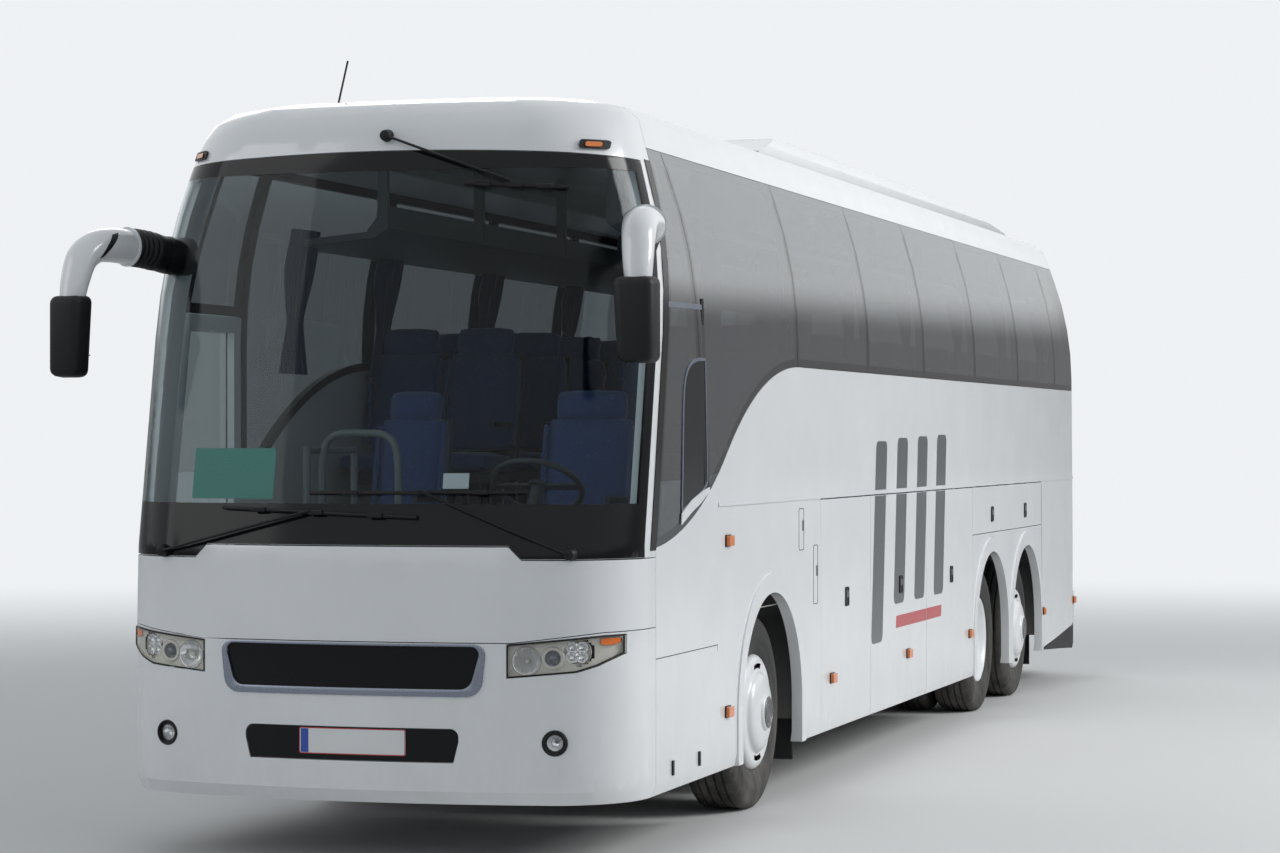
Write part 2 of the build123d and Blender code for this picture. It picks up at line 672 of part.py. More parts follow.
# Floors: the passenger deck, the cab floor, the stairs from the door and the hold underneath
FLOOR_HALF = HALF_WIDTH - WALL
STAIR_Y = (-5745, -4890)
STAIR = ((-1218, 400), (-900, 400), (-900, 720), (-600, 720), (-600, CAB_FLOOR_Z - DECK_T))
with BuildPart() as floor_deck:
    with BuildSketch(Plane.XY.offset(DECK_Z - DECK_T)):
        Polygon((-FLOOR_HALF, CAB_REAR_Y), (FLOOR_HALF, CAB_REAR_Y), (FLOOR_HALF, 6060), (-FLOOR_HALF, 6060),
                align=None)
    extrude(amount=DECK_T)
    with BuildSketch(Plane.XY.offset(CAB_FLOOR_Z - DECK_T)):
        Polygon((-600, -6150), (900, -6150), (FLOOR_HALF, -5800), (FLOOR_HALF, CAB_REAR_Y),
                (-FLOOR_HALF, CAB_REAR_Y), (-FLOOR_HALF, STAIR_Y[1]), (-600, STAIR_Y[1]), align=None)
    extrude(amount=DECK_T)
    with BuildSketch(Plane.XY.offset(CAB_FLOOR_Z - DECK_T)):
        Polygon((-FLOOR_HALF, CAB_REAR_Y), (FLOOR_HALF, CAB_REAR_Y), (FLOOR_HALF, CAB_REAR_Y + 40),
                (-FLOOR_HALF, CAB_REAR_Y + 40), align=None)
    extrude(amount=DECK_Z - CAB_FLOOR_Z + DECK_T)
    with BuildSketch(Plane.XY.offset(CAB_FLOOR_Z)):
        with Locations((0, CAB_REAR_Y - 140)):
            Rectangle(460, 280)
    extrude(amount=(DECK_Z - CAB_FLOOR_Z) / 2)
save(floor_deck, "floor_deck")

with BuildPart() as door_steps:
    with BuildSketch(Plane.XZ.offset(-STAIR_Y[1])):
        with BuildLine():
            Polyline(*STAIR)
            offset(amount=-20, side=Side.RIGHT)
        make_face()
    extrude(amount=STAIR_Y[1] - STAIR_Y[0])
save(door_steps, "door_steps")


# Under the floor: the hold's pan and bulkheads, the wheel housings and the frame
HOLD_Y = (LUGGAGE_FIRST + 10, LUGGAGE_LAST - 10)
HOLD_T = 25
# first Y, last Y of each pair of housings
HOUSINGS = ((FRONT_AXLE_Y - 680, FRONT_AXLE_Y + 680), (DRIVE_AXLE_Y - 680, TAG_AXLE_Y + 660))
with BuildPart() as underbody:
    with BuildSketch(Plane.YZ):
        Polygon((HOLD_Y[0], HOLD_FLOOR_Z - HOLD_T), (HOLD_Y[1], HOLD_FLOOR_Z - HOLD_T),
                (HOLD_Y[1], DECK_Z - DECK_T), (HOLD_Y[0], DECK_Z - DECK_T), align=None)
        Polygon((HOLD_Y[0] + HOLD_T, HOLD_FLOOR_Z), (HOLD_Y[1] - HOLD_T, HOLD_FLOOR_Z),
                (HOLD_Y[1] - HOLD_T, DECK_Z), (HOLD_Y[0] + HOLD_T, DECK_Z), align=None, mode=Mode.SUBTRACT)
    extrude(amount=FLOOR_HALF - 20, both=True)
    for side in (LEFT, RIGHT):
        for first, last in HOUSINGS:
            with BuildSketch(Plane.YZ.offset(side * HOUSING_X)):
                with BuildLine():
                    Polyline((first, 420), (first, HOUSING_TOP_Z - 220), (first + 220, HOUSING_TOP_Z),
                             (last - 220, HOUSING_TOP_Z), (last, HOUSING_TOP_Z - 220), (last, 420), (first, 420))
                make_face()
            extrude(amount=side * (FLOOR_HALF - HOUSING_X))
            with BuildSketch(Plane.YZ.offset(side * (HOUSING_X + SHEET))):
                with BuildLine():
                    Polyline((first + SHEET, 400), (first + SHEET, HOUSING_TOP_Z - 228),
                             (first + 228, HOUSING_TOP_Z - SHEET), (last - 228, HOUSING_TOP_Z - SHEET),
                             (last - SHEET, HOUSING_TOP_Z - 228), (last - SHEET, 400), (first + SHEET, 400))
                make_face()
            extrude(amount=side * (FLOOR_HALF - HOUSING_X), mode=Mode.SUBTRACT)
    for centre_y in ARCH_CENTRES:
        with BuildSketch(Plane.YZ.offset(-HOUSING_X - 100)):
            with Locations((centre_y, HUB_Z)):
                Rectangle(300, 420)
        extrude(amount=2 * HOUSING_X + 200, mode=Mode.SUBTRACT)
save(underbody, "underbody")

RAIL_HALF, RAIL_Z = 40, (640, 820)
FRONT_RAIL_Y = (-6100, HOLD_Y[0] - 2)
REAR_RAIL_Y = (HOLD_Y[1] + 2, 6150)
# Y, half length of each cross member
CROSS = ((-5950, 1100), (-4700, 1200), (-2760, 1200), (1925 - 60, 400), (4850, 1200), (5950, 1150))
with BuildPart() as chassis_frame:
    for side in (LEFT, RIGHT):
        for first, last in (FRONT_RAIL_Y, REAR_RAIL_Y):
            with BuildSketch(Plane.XY.offset(RAIL_Z[0])):
                with Locations((side * RAIL_X, (first + last) / 2)):
                    Rectangle(2 * RAIL_HALF, last - first)
            extrude(amount=RAIL_Z[1] - RAIL_Z[0])
        for end_y in (FRONT_RAIL_Y[1] - 40, REAR_RAIL_Y[0] + 40):
            with BuildSketch(Plane.XY.offset(SKIRT_Z)):
                with Locations((side * RAIL_X, end_y)):
                    Rectangle(2 * RAIL_HALF, 80)
            extrude(amount=RAIL_Z[1] - SKIRT_Z)
        with BuildSketch(Plane.XY.offset(SKIRT_Z)):
            with Locations((side * RAIL_X, (HOLD_Y[0] + HOLD_Y[1]) / 2)):
                Rectangle(2 * RAIL_HALF, HOLD_Y[1] - HOLD_Y[0] + 20)
        extrude(amount=HOLD_FLOOR_Z - HOLD_T - SKIRT_Z)
    for cross_y, half in CROSS:
        with BuildSketch(Plane.XY.offset(RAIL_Z[0] + 30)):
            with Locations((0, cross_y)):
                Rectangle(2 * half, 80)
        extrude(amount=80)
    for cross_y in (-2000, -400, 1200):
        with BuildSketch(Plane.XY.offset(SKIRT_Z + 5)):
            with Locations((0, cross_y)):
                Rectangle(2 * FLOOR_HALF - 60, 60)
        extrude(amount=HOLD_FLOOR_Z - HOLD_T - SKIRT_Z - 5)
save(chassis_frame, "chassis_frame")

with BuildPart() as engine_block:
    with BuildSketch(Plane.XY.offset(430)):
        with Locations((0, 5450)):
            Rectangle(640, 860)
    extrude(amount=820)
save(engine_block, "engine_block")


# Running gear
KINGPIN_X, KINGPIN_R = 930, 20
STUB_R, SPINDLE_R = 35, 55
WHEEL_X = 1045
TWIN_X, TWIN_HALF = 885, 165
TRACK_ARM = 185
TRACK_Y, TRACK_Z = FRONT_AXLE_Y + TRACK_ARM, 392
SPRING_R = 105


def wheel_plane(x, centre_y):
    """A plane across the wheel's axis, facing +X."""
    return Plane(origin=(x, centre_y, HUB_Z), x_dir=(0, 1, 0), z_dir=(1, 0, 0))


with BuildPart() as axles:
    with BuildSketch(Plane.XZ.offset(-(FRONT_AXLE_Y + 45))):
        with BuildLine():
            Polyline((-KINGPIN_X + 30, 470), (-760, 470), (-620, 350), (620, 350), (760, 470),
                     (KINGPIN_X - 30, 470), (KINGPIN_X - 30, 554), (730, 554), (590, 440),
                     (-590, 440), (-730, 554), (-KINGPIN_X + 30, 554), (-KINGPIN_X + 30, 470))
        make_face()
    extrude(amount=90)
    with BuildSketch(Plane.XY.offset(462)):
        with Locations((KINGPIN_X, FRONT_AXLE_Y), (-KINGPIN_X, FRONT_AXLE_Y)):
            Circle(46)
    extrude(amount=100)
    with BuildSketch(Plane.XY.offset(400)):
        with Locations((KINGPIN_X, FRONT_AXLE_Y), (-KINGPIN_X, FRONT_AXLE_Y)):
            Circle(KINGPIN_R + 0.3)
    extrude(amount=300, mode=Mode.SUBTRACT)
    for centre_y, reach, tube_r, end_r in (
        (DRIVE_AXLE_Y, TWIN_X + 170, 85, SPINDLE_R),
        (TAG_AXLE_Y, WHEEL_X + 145, 60, STUB_R),
    ):
        with BuildSketch(wheel_plane(-reach, centre_y)):
            Circle(end_r)
        extrude(amount=2 * reach)
        with BuildSketch(wheel_plane(-560, centre_y)):
            Circle(tube_r)
        extrude(amount=1120)
    with BuildSketch(wheel_plane(-150, DRIVE_AXLE_Y)):
        Circle(200)
    extrude(amount=300)
    for centre_y, low in ((FRONT_AXLE_Y, 420), (DRIVE_AXLE_Y, HUB_Z), (TAG_AXLE_Y, HUB_Z)):
        with BuildSketch(Plane.XY.offset(low)):
            with Locations((RAIL_X, centre_y), (-RAIL_X, centre_y)):
                Circle(SPRING_R)
        extrude(amount=RAIL_Z[0] - low)
save(axles, "axles")

for side, side_name in ((LEFT, "left"), (RIGHT, "right")):
    with BuildPart() as knuckle:
        with BuildSketch(Plane.XY.offset(424)):
            with Locations((side * KINGPIN_X, FRONT_AXLE_Y)):
                Circle(48)
            with Locations((side * (KINGPIN_X + 45), FRONT_AXLE_Y)):
                Rectangle(90, 96)
        extrude(amount=34)
        with BuildSketch(Plane.XY.offset(566)):
            with Locations((side * KINGPIN_X, FRONT_AXLE_Y)):
                Circle(48)
            with Locations((side * (KINGPIN_X + 45), FRONT_AXLE_Y)):
                Rectangle(90, 96)
        extrude(amount=34)
        with BuildSketch(Plane.XY.offset(424)):
            with Locations((side * (KINGPIN_X + 72), FRONT_AXLE_Y)):
                Rectangle(36, 96)
        extrude(amount=176)
        with BuildSketch(Plane.XY.offset(424)):
            with Locations((side * KINGPIN_X, FRONT_AXLE_Y)):
                Circle(KINGPIN_R)
        extrude(amount=176)
        with BuildSketch(wheel_plane(side * (KINGPIN_X + 85), FRONT_AXLE_Y)):
            Circle(STUB_R)
        extrude(amount=side * (WHEEL_X + 145 - KINGPIN_X - 85))
        with BuildSketch(Plane.XY.offset(424)):
            with Locations((side * KINGPIN_X, FRONT_AXLE_Y + TRACK_ARM / 2)):
                Rectangle(44, TRACK_ARM)
            with Locations((side * KINGPIN_X, TRACK_Y)):
                Circle(24)
        extrude(amount=16)
        with BuildSketch(Plane.XY.offset(372)):
            with Locations((side * KINGPIN_X, TRACK_Y)):
                Circle(8)
        extrude(amount=60)
    save(knuckle, f"knuckle_{side_name}")

with BuildPart() as track_rod:
    with BuildSketch(Plane.YZ.offset(-KINGPIN_X)):
        with Locations((TRACK_Y, TRACK_Z)):
            Circle(17)
    extrude(amount=2 * KINGPIN_X)
    with BuildSketch(Plane.XY.offset(TRACK_Z - 18)):
        with Locations((KINGPIN_X, TRACK_Y), (-KINGPIN_X, TRACK_Y)):
            Circle(24)
    extrude(amount=36)
    with BuildSketch(Plane.XY.offset(TRACK_Z - 40)):
        with Locations((KINGPIN_X, TRACK_Y), (-KINGPIN_X, TRACK_Y)):
            Circle(8.4)
    extrude(amount=80, mode=Mode.SUBTRACT)
save(track_rod, "track_rod")

# Rim and tyre profiles: distance outwards from the wheel's middle plane, radius
SINGLE_RIM = (
    (-112, 262), (-112, 298), (-104, 298), (-104, 280), (104, 280), (104, 300), (122, 300), (142, 288),
    (150, 268), (146, 222), (166, 204), (184, 170), (192, 98), (206, 90), (212, 60), (212, 0), (150, 0),
    (150, 35.3), (-20, 35.3), (-20, 95), (110, 95), (110, 190), (60, 262),
)
TWIN_RIM = (
    (-277, 262), (-277, 298), (-269, 298), (-269, 280), (-61, 280), (-61, 298), (-53, 298), (-53, 280),
    (53, 280), (53, 298), (61, 298), (61, 280), (269, 280), (269, 300), (284, 300), (284, 286), (180, 232),
    (140, 210), (134, 125), (140, 108), (236, 104), (250, 88), (250, 0), (176, 0), (176, 55.3),
    (-150, 55.3), (-150, 130), (-20, 130), (-20, 262),
)
TYRE = (
    (-102, 281), (-102, 302), (-122, 309), (-140, 345), (-145, 395), (-138, 450), (-122, 500), (-100, TYRE_R),
    (100, TYRE_R), (122, 500), (138, 450), (145, 395), (140, 345), (122, 309), (102, 302), (102, 281),
)
# Two curved slots face each other in each cover: their arc and their width.
SLOT_ARC, SLOT_WIDTH = 30, 26
# name, axle, middle plane, tyre offsets, rim profile, slot radius, slot's first and last distance outwards
WHEELS = (
    ("front", FRONT_AXLE_Y, WHEEL_X, (0,), SINGLE_RIM, 244, 115, 240),
    ("drive", DRIVE_AXLE_Y, TWIN_X, (-TWIN_HALF, TWIN_HALF), TWIN_RIM, 242, 100, 300),
    ("tag", TAG_AXLE_Y, WHEEL_X, (0,), SINGLE_RIM, 244, 115, 240),
)
for name, centre_y, middle_x, offsets, profile, slot_r, slot_first, slot_last in WHEELS:
    for side, side_name in ((LEFT, "left"), (RIGHT, "right")):
        hub = Plane(origin=(0, centre_y, HUB_Z), x_dir=(1, 0, 0), z_dir=(0, -1, 0))
        spin_axis = Axis((0, centre_y, HUB_Z), (1, 0, 0))
        with BuildPart() as rim:
            with BuildSketch(hub):
                Polygon(*[(side * (middle_x + u), r) for u, r in profile], align=None)
            revolve(axis=spin_axis)
            with BuildSketch(wheel_plane(side * (middle_x + slot_first), centre_y)):
                for slot_middle in (90, 270):
                    slot_line = CenterArc((0, 0), slot_r, slot_middle - SLOT_ARC / 2, SLOT_ARC)
                    SlotArc(arc=slot_line, height=SLOT_WIDTH)
            extrude(amount=side * (slot_last - slot_first), mode=Mode.SUBTRACT)
        save(rim, f"wheel_{name}_{side_name}")
        with BuildPart() as tyre:
            for tyre_offset in offsets:
                with BuildSketch(hub):
                    Polygon(*[(side * (middle_x + tyre_offset + u), r) for u, r in TYRE], align=None)
                revolve(axis=spin_axis)
        save(tyre, f"tyre_{name}_{side_name}")


# Inside: seats, racks, dashboard and the rail beside the door
CUSHION_SIDE = ((120, 0), (120, 330), (0, 345), (0, 440), (440, 450), (480, 330), (330, 330), (330, 0))
BACKREST_SIDE = ((440, 450), (560, 1040), (600, 1085), (655, 1070), (540, 330), (480, 330))
# name, middle X, first Y, floor, half width
SEATS = [("driver", 620, -5260, CAB_FLOOR_Z, 240), ("courier", -340, -5240, CAB_FLOOR_Z, 190)]
for row in range(ROW_COUNT):
    for seat_x in (520, 970, -520, -970):
        SEATS.append(("passenger", seat_x, ROW_FIRST_Y + row * ROW_PITCH, DECK_Z, 215))
for node_name, outline in (("seats", CUSHION_SIDE), ("seat_backs", BACKREST_SIDE)):
    with BuildPart() as seat_half:
        for seat_name, seat_x, seat_y, floor_z, half in SEATS:
            with BuildSketch(Plane.YZ.offset(seat_x - half)):
                Polygon(*[(seat_y + y, floor_z + z) for y, z in outline], align=None)
            extrude(amount=2 * half)
    save(seat_half, node_name)

DASH_X = (-760, 1200)
with BuildPart() as dash_block:
    with BuildSketch(Plane.YZ.offset(DASH_X[0])):
        Polygon((-6500, CAB_FLOOR_Z + 160), (-6500, 1430), (-6000, 1440), (-5800, 1400), (-5780, 1260),
                (-5950, 1160), (-5960, CAB_FLOOR_Z), (-6130, CAB_FLOOR_Z), align=None)
    extrude(amount=DASH_X[1] - DASH_X[0])
    with BuildSketch(Plane.YZ.offset(320)):
        Polygon((-6080, 1400), (-6020, 1580), (-5860, 1610), (-5760, 1560), (-5740, 1380), align=None)
    extrude(amount=620)

WHEEL_CENTRE, WHEEL_TILT = (620, -5540, 1730), radians(35)
with BuildPart() as dashboard:
    add(INNER)
    add(dash_block.part, mode=Mode.INTERSECT)
    column = Plane(origin=WHEEL_CENTRE, x_dir=(1, 0, 0), z_dir=(0, sin(WHEEL_TILT), cos(WHEEL_TILT)))
    with Locations(column.location):
        Torus(215, 15)
    with BuildSketch(column.offset(-7)):
        Circle(50)
        Rectangle(426, 40)
    extrude(amount=14)
    with BuildSketch(column.offset(-430)):
        Circle(32)
    extrude(amount=430)
save(dashboard, "dashboard")

RACK_Y = (-4400, 5900)
with BuildPart() as rack_block:
    for side in (LEFT, RIGHT):
        with BuildSketch(Plane.XZ.offset(-RACK_Y[1])):
            Polygon((side * 1250, 2960), (side * 680, 3010), (side * 600, 3060), (side * 610, 3180),
                    (side * 640, 3180), (side * 635, 3085), (side * 690, 3045), (side * 1250, 2995), align=None)
        extrude(amount=RACK_Y[1] - RACK_Y[0])
        for bracket in range(8):
            with BuildSketch(Plane.XZ.offset(-(RACK_Y[0] + 30 + bracket * 1460))):
                Polygon((side * 600, 3060), (side * 680, 3010), (side * 720, 3050), (side * 660, 3120),
                        (side * 660, 3700), (side * 610, 3700), align=None)
            extrude(amount=30)
    with BuildSketch(Plane.XY.offset(CAB_FLOOR_Z)):
        with Locations((-560, -4960), (-560, -5560)):
            Circle(19)
    extrude(amount=880)
    with BuildSketch(Plane.XZ.offset(4960)):
        with Locations((-560, CAB_FLOOR_Z + 860), (-560, CAB_FLOOR_Z + 450)):
            Circle(16)
    extrude(amount=600)
    for bearing_z in (575, 1200):
        with BuildSketch(Plane.XY.offset(bearing_z)):
            Polygon((-1260, -5950), (-1150, -5950), (-1150, -5700), (DOOR_POST[0] + 30, DOOR_POST[1]),
                    (DOOR_POST[0] - 30, DOOR_POST[1]), (-1215, -5710), (-1260, -5710), align=None)
            with Locations(DOOR_POST):
                Circle(40)
                Circle(DOOR_POST_R + 0.3, mode=Mode.SUBTRACT)
        extrude(amount=30)
with BuildPart() as cabin_fittings:
    add(INNER)
    add(rack_block.part, mode=Mode.INTERSECT)
save(cabin_fittings, "cabin_fittings")


# Outside: roof unit, mirrors, wipers, whip antenna and lamps
UNIT_HALF = 870
UNIT_SIDE = (
    (-2400, 3500), (-2400, 3600), (-1900, 3715), (-1350, 3760), (1450, 3748), (4300, 3660), (5270, 3600),
    (5270, 3500),
)
with BuildPart() as roof_unit:
    with BuildSketch(Plane.YZ.offset(-UNIT_HALF)):
        Polygon(*UNIT_SIDE, align=None)
    extrude(amount=2 * UNIT_HALF)
    with BuildSketch(Plane.XZ.offset(-5400)):
        with BuildLine():
            Polyline((-UNIT_HALF, 3400), (-UNIT_HALF, 3640))
            ThreePointArc((-UNIT_HALF, 3640), (-835, 3705), (-770, 3740))
            ThreePointArc((-770, 3740), (0, 3775), (770, 3740))
            ThreePointArc((770, 3740), (835, 3705), (UNIT_HALF, 3640))
            Polyline((UNIT_HALF, 3640), (UNIT_HALF, 3400), (-UNIT_HALF, 3400))
        make_face()
    extrude(amount=8000, mode=Mode.INTERSECT)
    add(OUTER, mode=Mode.SUBTRACT)
save(roof_unit, "roof_unit")

MIRROR_HEAD = (1386, -6330, 2485)
MIRROR_DEPTH, MIRROR_ARM_R, MIRROR_ELBOW_R = 140, 68, 105
with BuildPart() as mirrors:
    for side in (LEFT, RIGHT):
        with BuildSketch(Plane.XZ.offset(-(MIRROR_HEAD[1] + MIRROR_DEPTH / 2))):
            with Locations((side * MIRROR_HEAD[0], MIRROR_HEAD[2])):
                RectangleRounded(200, 390, 60)
        extrude(amount=MIRROR_DEPTH)
        arm_root = (side * 1190, -5760, 2850)
        arm_bend = (side * 1290, -5980, 2890)
        with BuildLine():
            FilletPolyline(
                arm_root,
                arm_bend,
                (side * 1384, -6290, 2880),
                (side * 1386, -6330, 2640),
                radius=MIRROR_ELBOW_R,
            )
        with BuildSketch(Plane(origin=arm_root, z_dir=Vector(*arm_bend) - Vector(*arm_root))):
            Circle(MIRROR_ARM_R)
        sweep()
    add(OUTER, mode=Mode.SUBTRACT)
save(mirrors, "mirrors")


def rod(start, end, radius):
    """A round bar between two points."""
    start, end = Vector(*start), Vector(*end)
    with BuildPart() as bar:
        with BuildSketch(Plane(origin=start, z_dir=end - start)):
            Circle(radius)
        extrude(amount=(end - start).length)
    return bar.part


def strip(start, end, half):
    """The corners of a straight strip between two points of the front view."""
    length = hypot(end[0] - start[0], end[1] - start[1])
    across = (-(end[1] - start[1]) / length * half, (end[0] - start[0]) / length * half)
    return (
        (start[0] - across[0], start[1] - across[1]),
        (end[0] - across[0], end[1] - across[1]),
        (end[0] + across[0], end[1] + across[1]),
        (start[0] + across[0], start[1] + across[1]),
    )


# Wipers lie along the glass, so they are cut from thin layers outside the body's form.
# pivot X and Z, blade's first X and Z, blade's last X and Z
WIPERS = (
    ((-984, 1435), (-660, 1640), (320, 1600)),
    ((1021, 1435), (-210, 1710), (820, 1715)),
    ((40, 3375), (440, 3140), (920, 3115)),
)
BLADE_HALF, ARM_HALF, PIVOT_R = 13, 10, 26
BLADE_NEAR, BLADE_FAR = envelope(-12), envelope(-32)
with BuildPart() as wiper_outlines:
    with BuildSketch(Plane.XZ.offset(5700)):
        for pivot, first, last in WIPERS:
            middle = ((first[0] + last[0]) / 2, (first[1] + last[1]) / 2)
            Polygon(*strip(first, last, BLADE_HALF), align=None)
            Polygon(*strip(pivot, middle, ARM_HALF), align=None)
    extrude(amount=1000)
with BuildPart() as wiper_pivots:
    with BuildSketch(Plane.XZ.offset(5700)):
        with Locations(*[pivot for pivot, first, last in WIPERS]):
            Circle(PIVOT_R)
    extrude(amount=1000)
    add(BLADE_FAR, mode=Mode.INTERSECT)
    add(OUTER, mode=Mode.SUBTRACT)
with BuildPart() as wipers:
    add(BLADE_FAR)
    add(BLADE_NEAR, mode=Mode.SUBTRACT)
    add(wiper_outlines.part, mode=Mode.INTERSECT)
    add(wiper_pivots.part)
save(wipers, "wipers")

with BuildPart() as whip_antenna:
    with BuildSketch(Plane.XY.offset(3500)):
        with Locations((-490, -5350)):
            Circle(22)
    extrude(amount=90)
    add(rod((-490, -5350, 3580), (-470, -5260, 3830), 5))
    add(OUTER, mode=Mode.SUBTRACT)
save(whip_antenna, "whip_antenna")

SIDE_MARKERS = ((-4520, 1395), (-4530, 540), (4720, 557))
TOP_MARKER, TAIL_LAMP = (1000, 3325), (1050, 1340)
with BuildPart() as end_lamps:
    for side in (LEFT, RIGHT):
        with BuildSketch(Plane.XZ.offset(-6000)):
            with Locations((side * TAIL_LAMP[0], TAIL_LAMP[1])):
                RectangleRounded(150, 520, 60)
        extrude(amount=-500)
        with BuildSketch(Plane.XZ.offset(5600)):
            with Locations((side * TOP_MARKER[0], TOP_MARKER[1])):
                SlotOverall(110, 40)
        extrude(amount=500)
    add(BLADE_NEAR, mode=Mode.INTERSECT)
    add(OUTER, mode=Mode.SUBTRACT)
with BuildPart() as signal_lamps:
    for side in (LEFT, RIGHT):
        with BuildSketch(Plane.YZ.offset(side * (HALF_WIDTH - 2))):
            with Locations(*SIDE_MARKERS):
                SlotOverall(105, 36)
        extrude(amount=side * 12)
    add(OUTER, mode=Mode.SUBTRACT)
    add(end_lamps.part)
save(signal_lamps, "signal_lamps")

# Black guards low down at the rear: a corner piece under the kicked-up skirt and the last wheel's mudflap
GUARD_SIDE = ((4800, 292), (5950, 403), (6270, 424), (6270, 260), (6215, 217), (5600, 252))
GUARD_X = (1190, 1250)
FLAP_Y, FLAP_T, FLAP_X, FLAP_Z = TAG_AXLE_Y + 660, 10, (915, 1175), (190, 500)
with BuildPart() as rear_guards:
    for side in (LEFT, RIGHT):
        with BuildSketch(Plane.YZ.offset(side * GUARD_X[0])):
            Polygon(*GUARD_SIDE, align=None)
        extrude(amount=side * (GUARD_X[1] - GUARD_X[0]))
        with BuildSketch(Plane.YZ.offset(side * FLAP_X[0])):
            Polygon((FLAP_Y, FLAP_Z[0]), (FLAP_Y + FLAP_T, FLAP_Z[0]), (FLAP_Y + FLAP_T, FLAP_Z[1]),
                    (FLAP_Y, FLAP_Z[1]), align=None)
        extrude(amount=side * (FLAP_X[1] - FLAP_X[0]))
save(rear_guards, "rear_guards")
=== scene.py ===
from math import atan2, cos, pi, radians, sin, tan, tau

import bmesh
import bpy
from bpy.props import FloatProperty, FloatVectorProperty, IntProperty, PointerProperty
from mathutils import Matrix, Vector
from mathutils.bvhtree import BVHTree


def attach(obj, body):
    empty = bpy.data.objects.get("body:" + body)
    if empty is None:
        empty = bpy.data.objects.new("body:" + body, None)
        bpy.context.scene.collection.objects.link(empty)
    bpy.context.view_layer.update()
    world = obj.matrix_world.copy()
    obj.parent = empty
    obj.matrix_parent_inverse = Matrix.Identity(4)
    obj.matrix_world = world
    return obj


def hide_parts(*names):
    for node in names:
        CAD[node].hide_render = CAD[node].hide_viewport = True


bl_info = {
    "name": "Coach bus dressing",
    "version": (1, 0, 0),
    "blender": (4, 5, 0),
    "location": "3D View > Sidebar > Coach",
    "description": "Builds the finishes and small parts of a three-axle coach on its packed frame",
    "category": "Object",
}

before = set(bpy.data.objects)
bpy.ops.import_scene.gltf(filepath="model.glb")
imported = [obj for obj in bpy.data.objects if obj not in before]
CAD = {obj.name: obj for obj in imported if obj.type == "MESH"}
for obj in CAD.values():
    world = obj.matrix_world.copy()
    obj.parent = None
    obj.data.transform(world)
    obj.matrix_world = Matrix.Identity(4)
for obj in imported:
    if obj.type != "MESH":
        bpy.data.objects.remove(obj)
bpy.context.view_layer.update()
LEFT, RIGHT = 1, -1
SIDES = ((LEFT, "left"), (RIGHT, "right"))
GROUND_UP = Vector((0, 0, 1))

# Places on the coach, in metres: +X is the driver's side and the front faces -Y
HUB_Z = 0.512
AXLES = (("front", -3.65), ("drive", 2.55), ("tag", 3.95))
SINGLE_X, TWIN_X, TWIN_HALF = 1.045, 0.885, 0.165
DECK_Z, CAB_Z = 1.42, 1.04


class CoachFinish(bpy.types.PropertyGroup):
    """Colours and surface values of the coach."""

    paint: FloatVectorProperty(
        name="Body paint", description="Colour of the body panels", subtype="COLOR", size=3,
        default=(0.8, 0.81, 0.82), min=0, max=1,
    )
    wheel_paint: FloatVectorProperty(
        name="Wheel paint", description="Colour of the rims", subtype="COLOR", size=3,
        default=(0.78, 0.79, 0.8), min=0, max=1,
    )
    cloth: FloatVectorProperty(
        name="Seat cloth", description="Colour of the seats", subtype="COLOR", size=3,
        default=(0.035, 0.07, 0.2), min=0, max=1,
    )
    lamp: FloatVectorProperty(
        name="Marker lamps", description="Colour of the side markers", subtype="COLOR", size=3,
        default=(0.9, 0.22, 0.02), min=0, max=1,
    )
    graphic: FloatVectorProperty(
        name="Side graphic", description="Colour of the slanted bars", subtype="COLOR", size=3,
        default=(0.07, 0.075, 0.08), min=0, max=1,
    )
    dust: FloatProperty(
        name="Road dust", description="How much dust lies low on the paint", default=0.12, min=0, max=1,
        subtype="FACTOR",
    )


class CoachSizes(bpy.types.PropertyGroup):
    """Sizes of the pieces that a user may change."""

    joint_width: FloatProperty(
        name="Joint line", description="Width of a drawn panel joint", default=0.004, min=0.001, unit="LENGTH"
    )
    tread_depth: FloatProperty(
        name="Tread depth", description="Depth of the tyre grooves", default=0.014, min=0.001,
        unit="LENGTH",
    )
    curtain_fold: FloatProperty(
        name="Curtain fold", description="Depth of a curtain's folds", default=0.022, min=0, unit="LENGTH"
    )
    wheel_steps: IntProperty(name="Wheel steps", description="Segments round a wheel", default=96, min=24)


# Shader groups


def group_of(name, inputs, outputs):
    """An empty node group with its sockets; each socket is (name, kind, default)."""
    tree = bpy.data.node_groups.new(name, "ShaderNodeTree")
    for way, sockets in (("INPUT", inputs), ("OUTPUT", outputs)):
        for label, kind, value in sockets:
            made = tree.interface.new_socket(label, in_out=way, socket_type="NodeSocket" + kind)
            if value is not None:
                made.default_value = value
    return tree, tree.nodes.new("NodeGroupInput"), tree.nodes.new("NodeGroupOutput")


def wire(tree, kind, links=(), **values):
    """A node with its plain settings and its linked inputs, given as (input, output socket)."""
    node = tree.nodes.new("ShaderNode" + kind)
    for key, value in values.items():
        if hasattr(node, key):
            setattr(node, key, value)
        else:
            node.inputs[key.replace("_", " ")].default_value = value
    for where, source in links:
        tree.links.new(node.inputs[where], source)
    return node


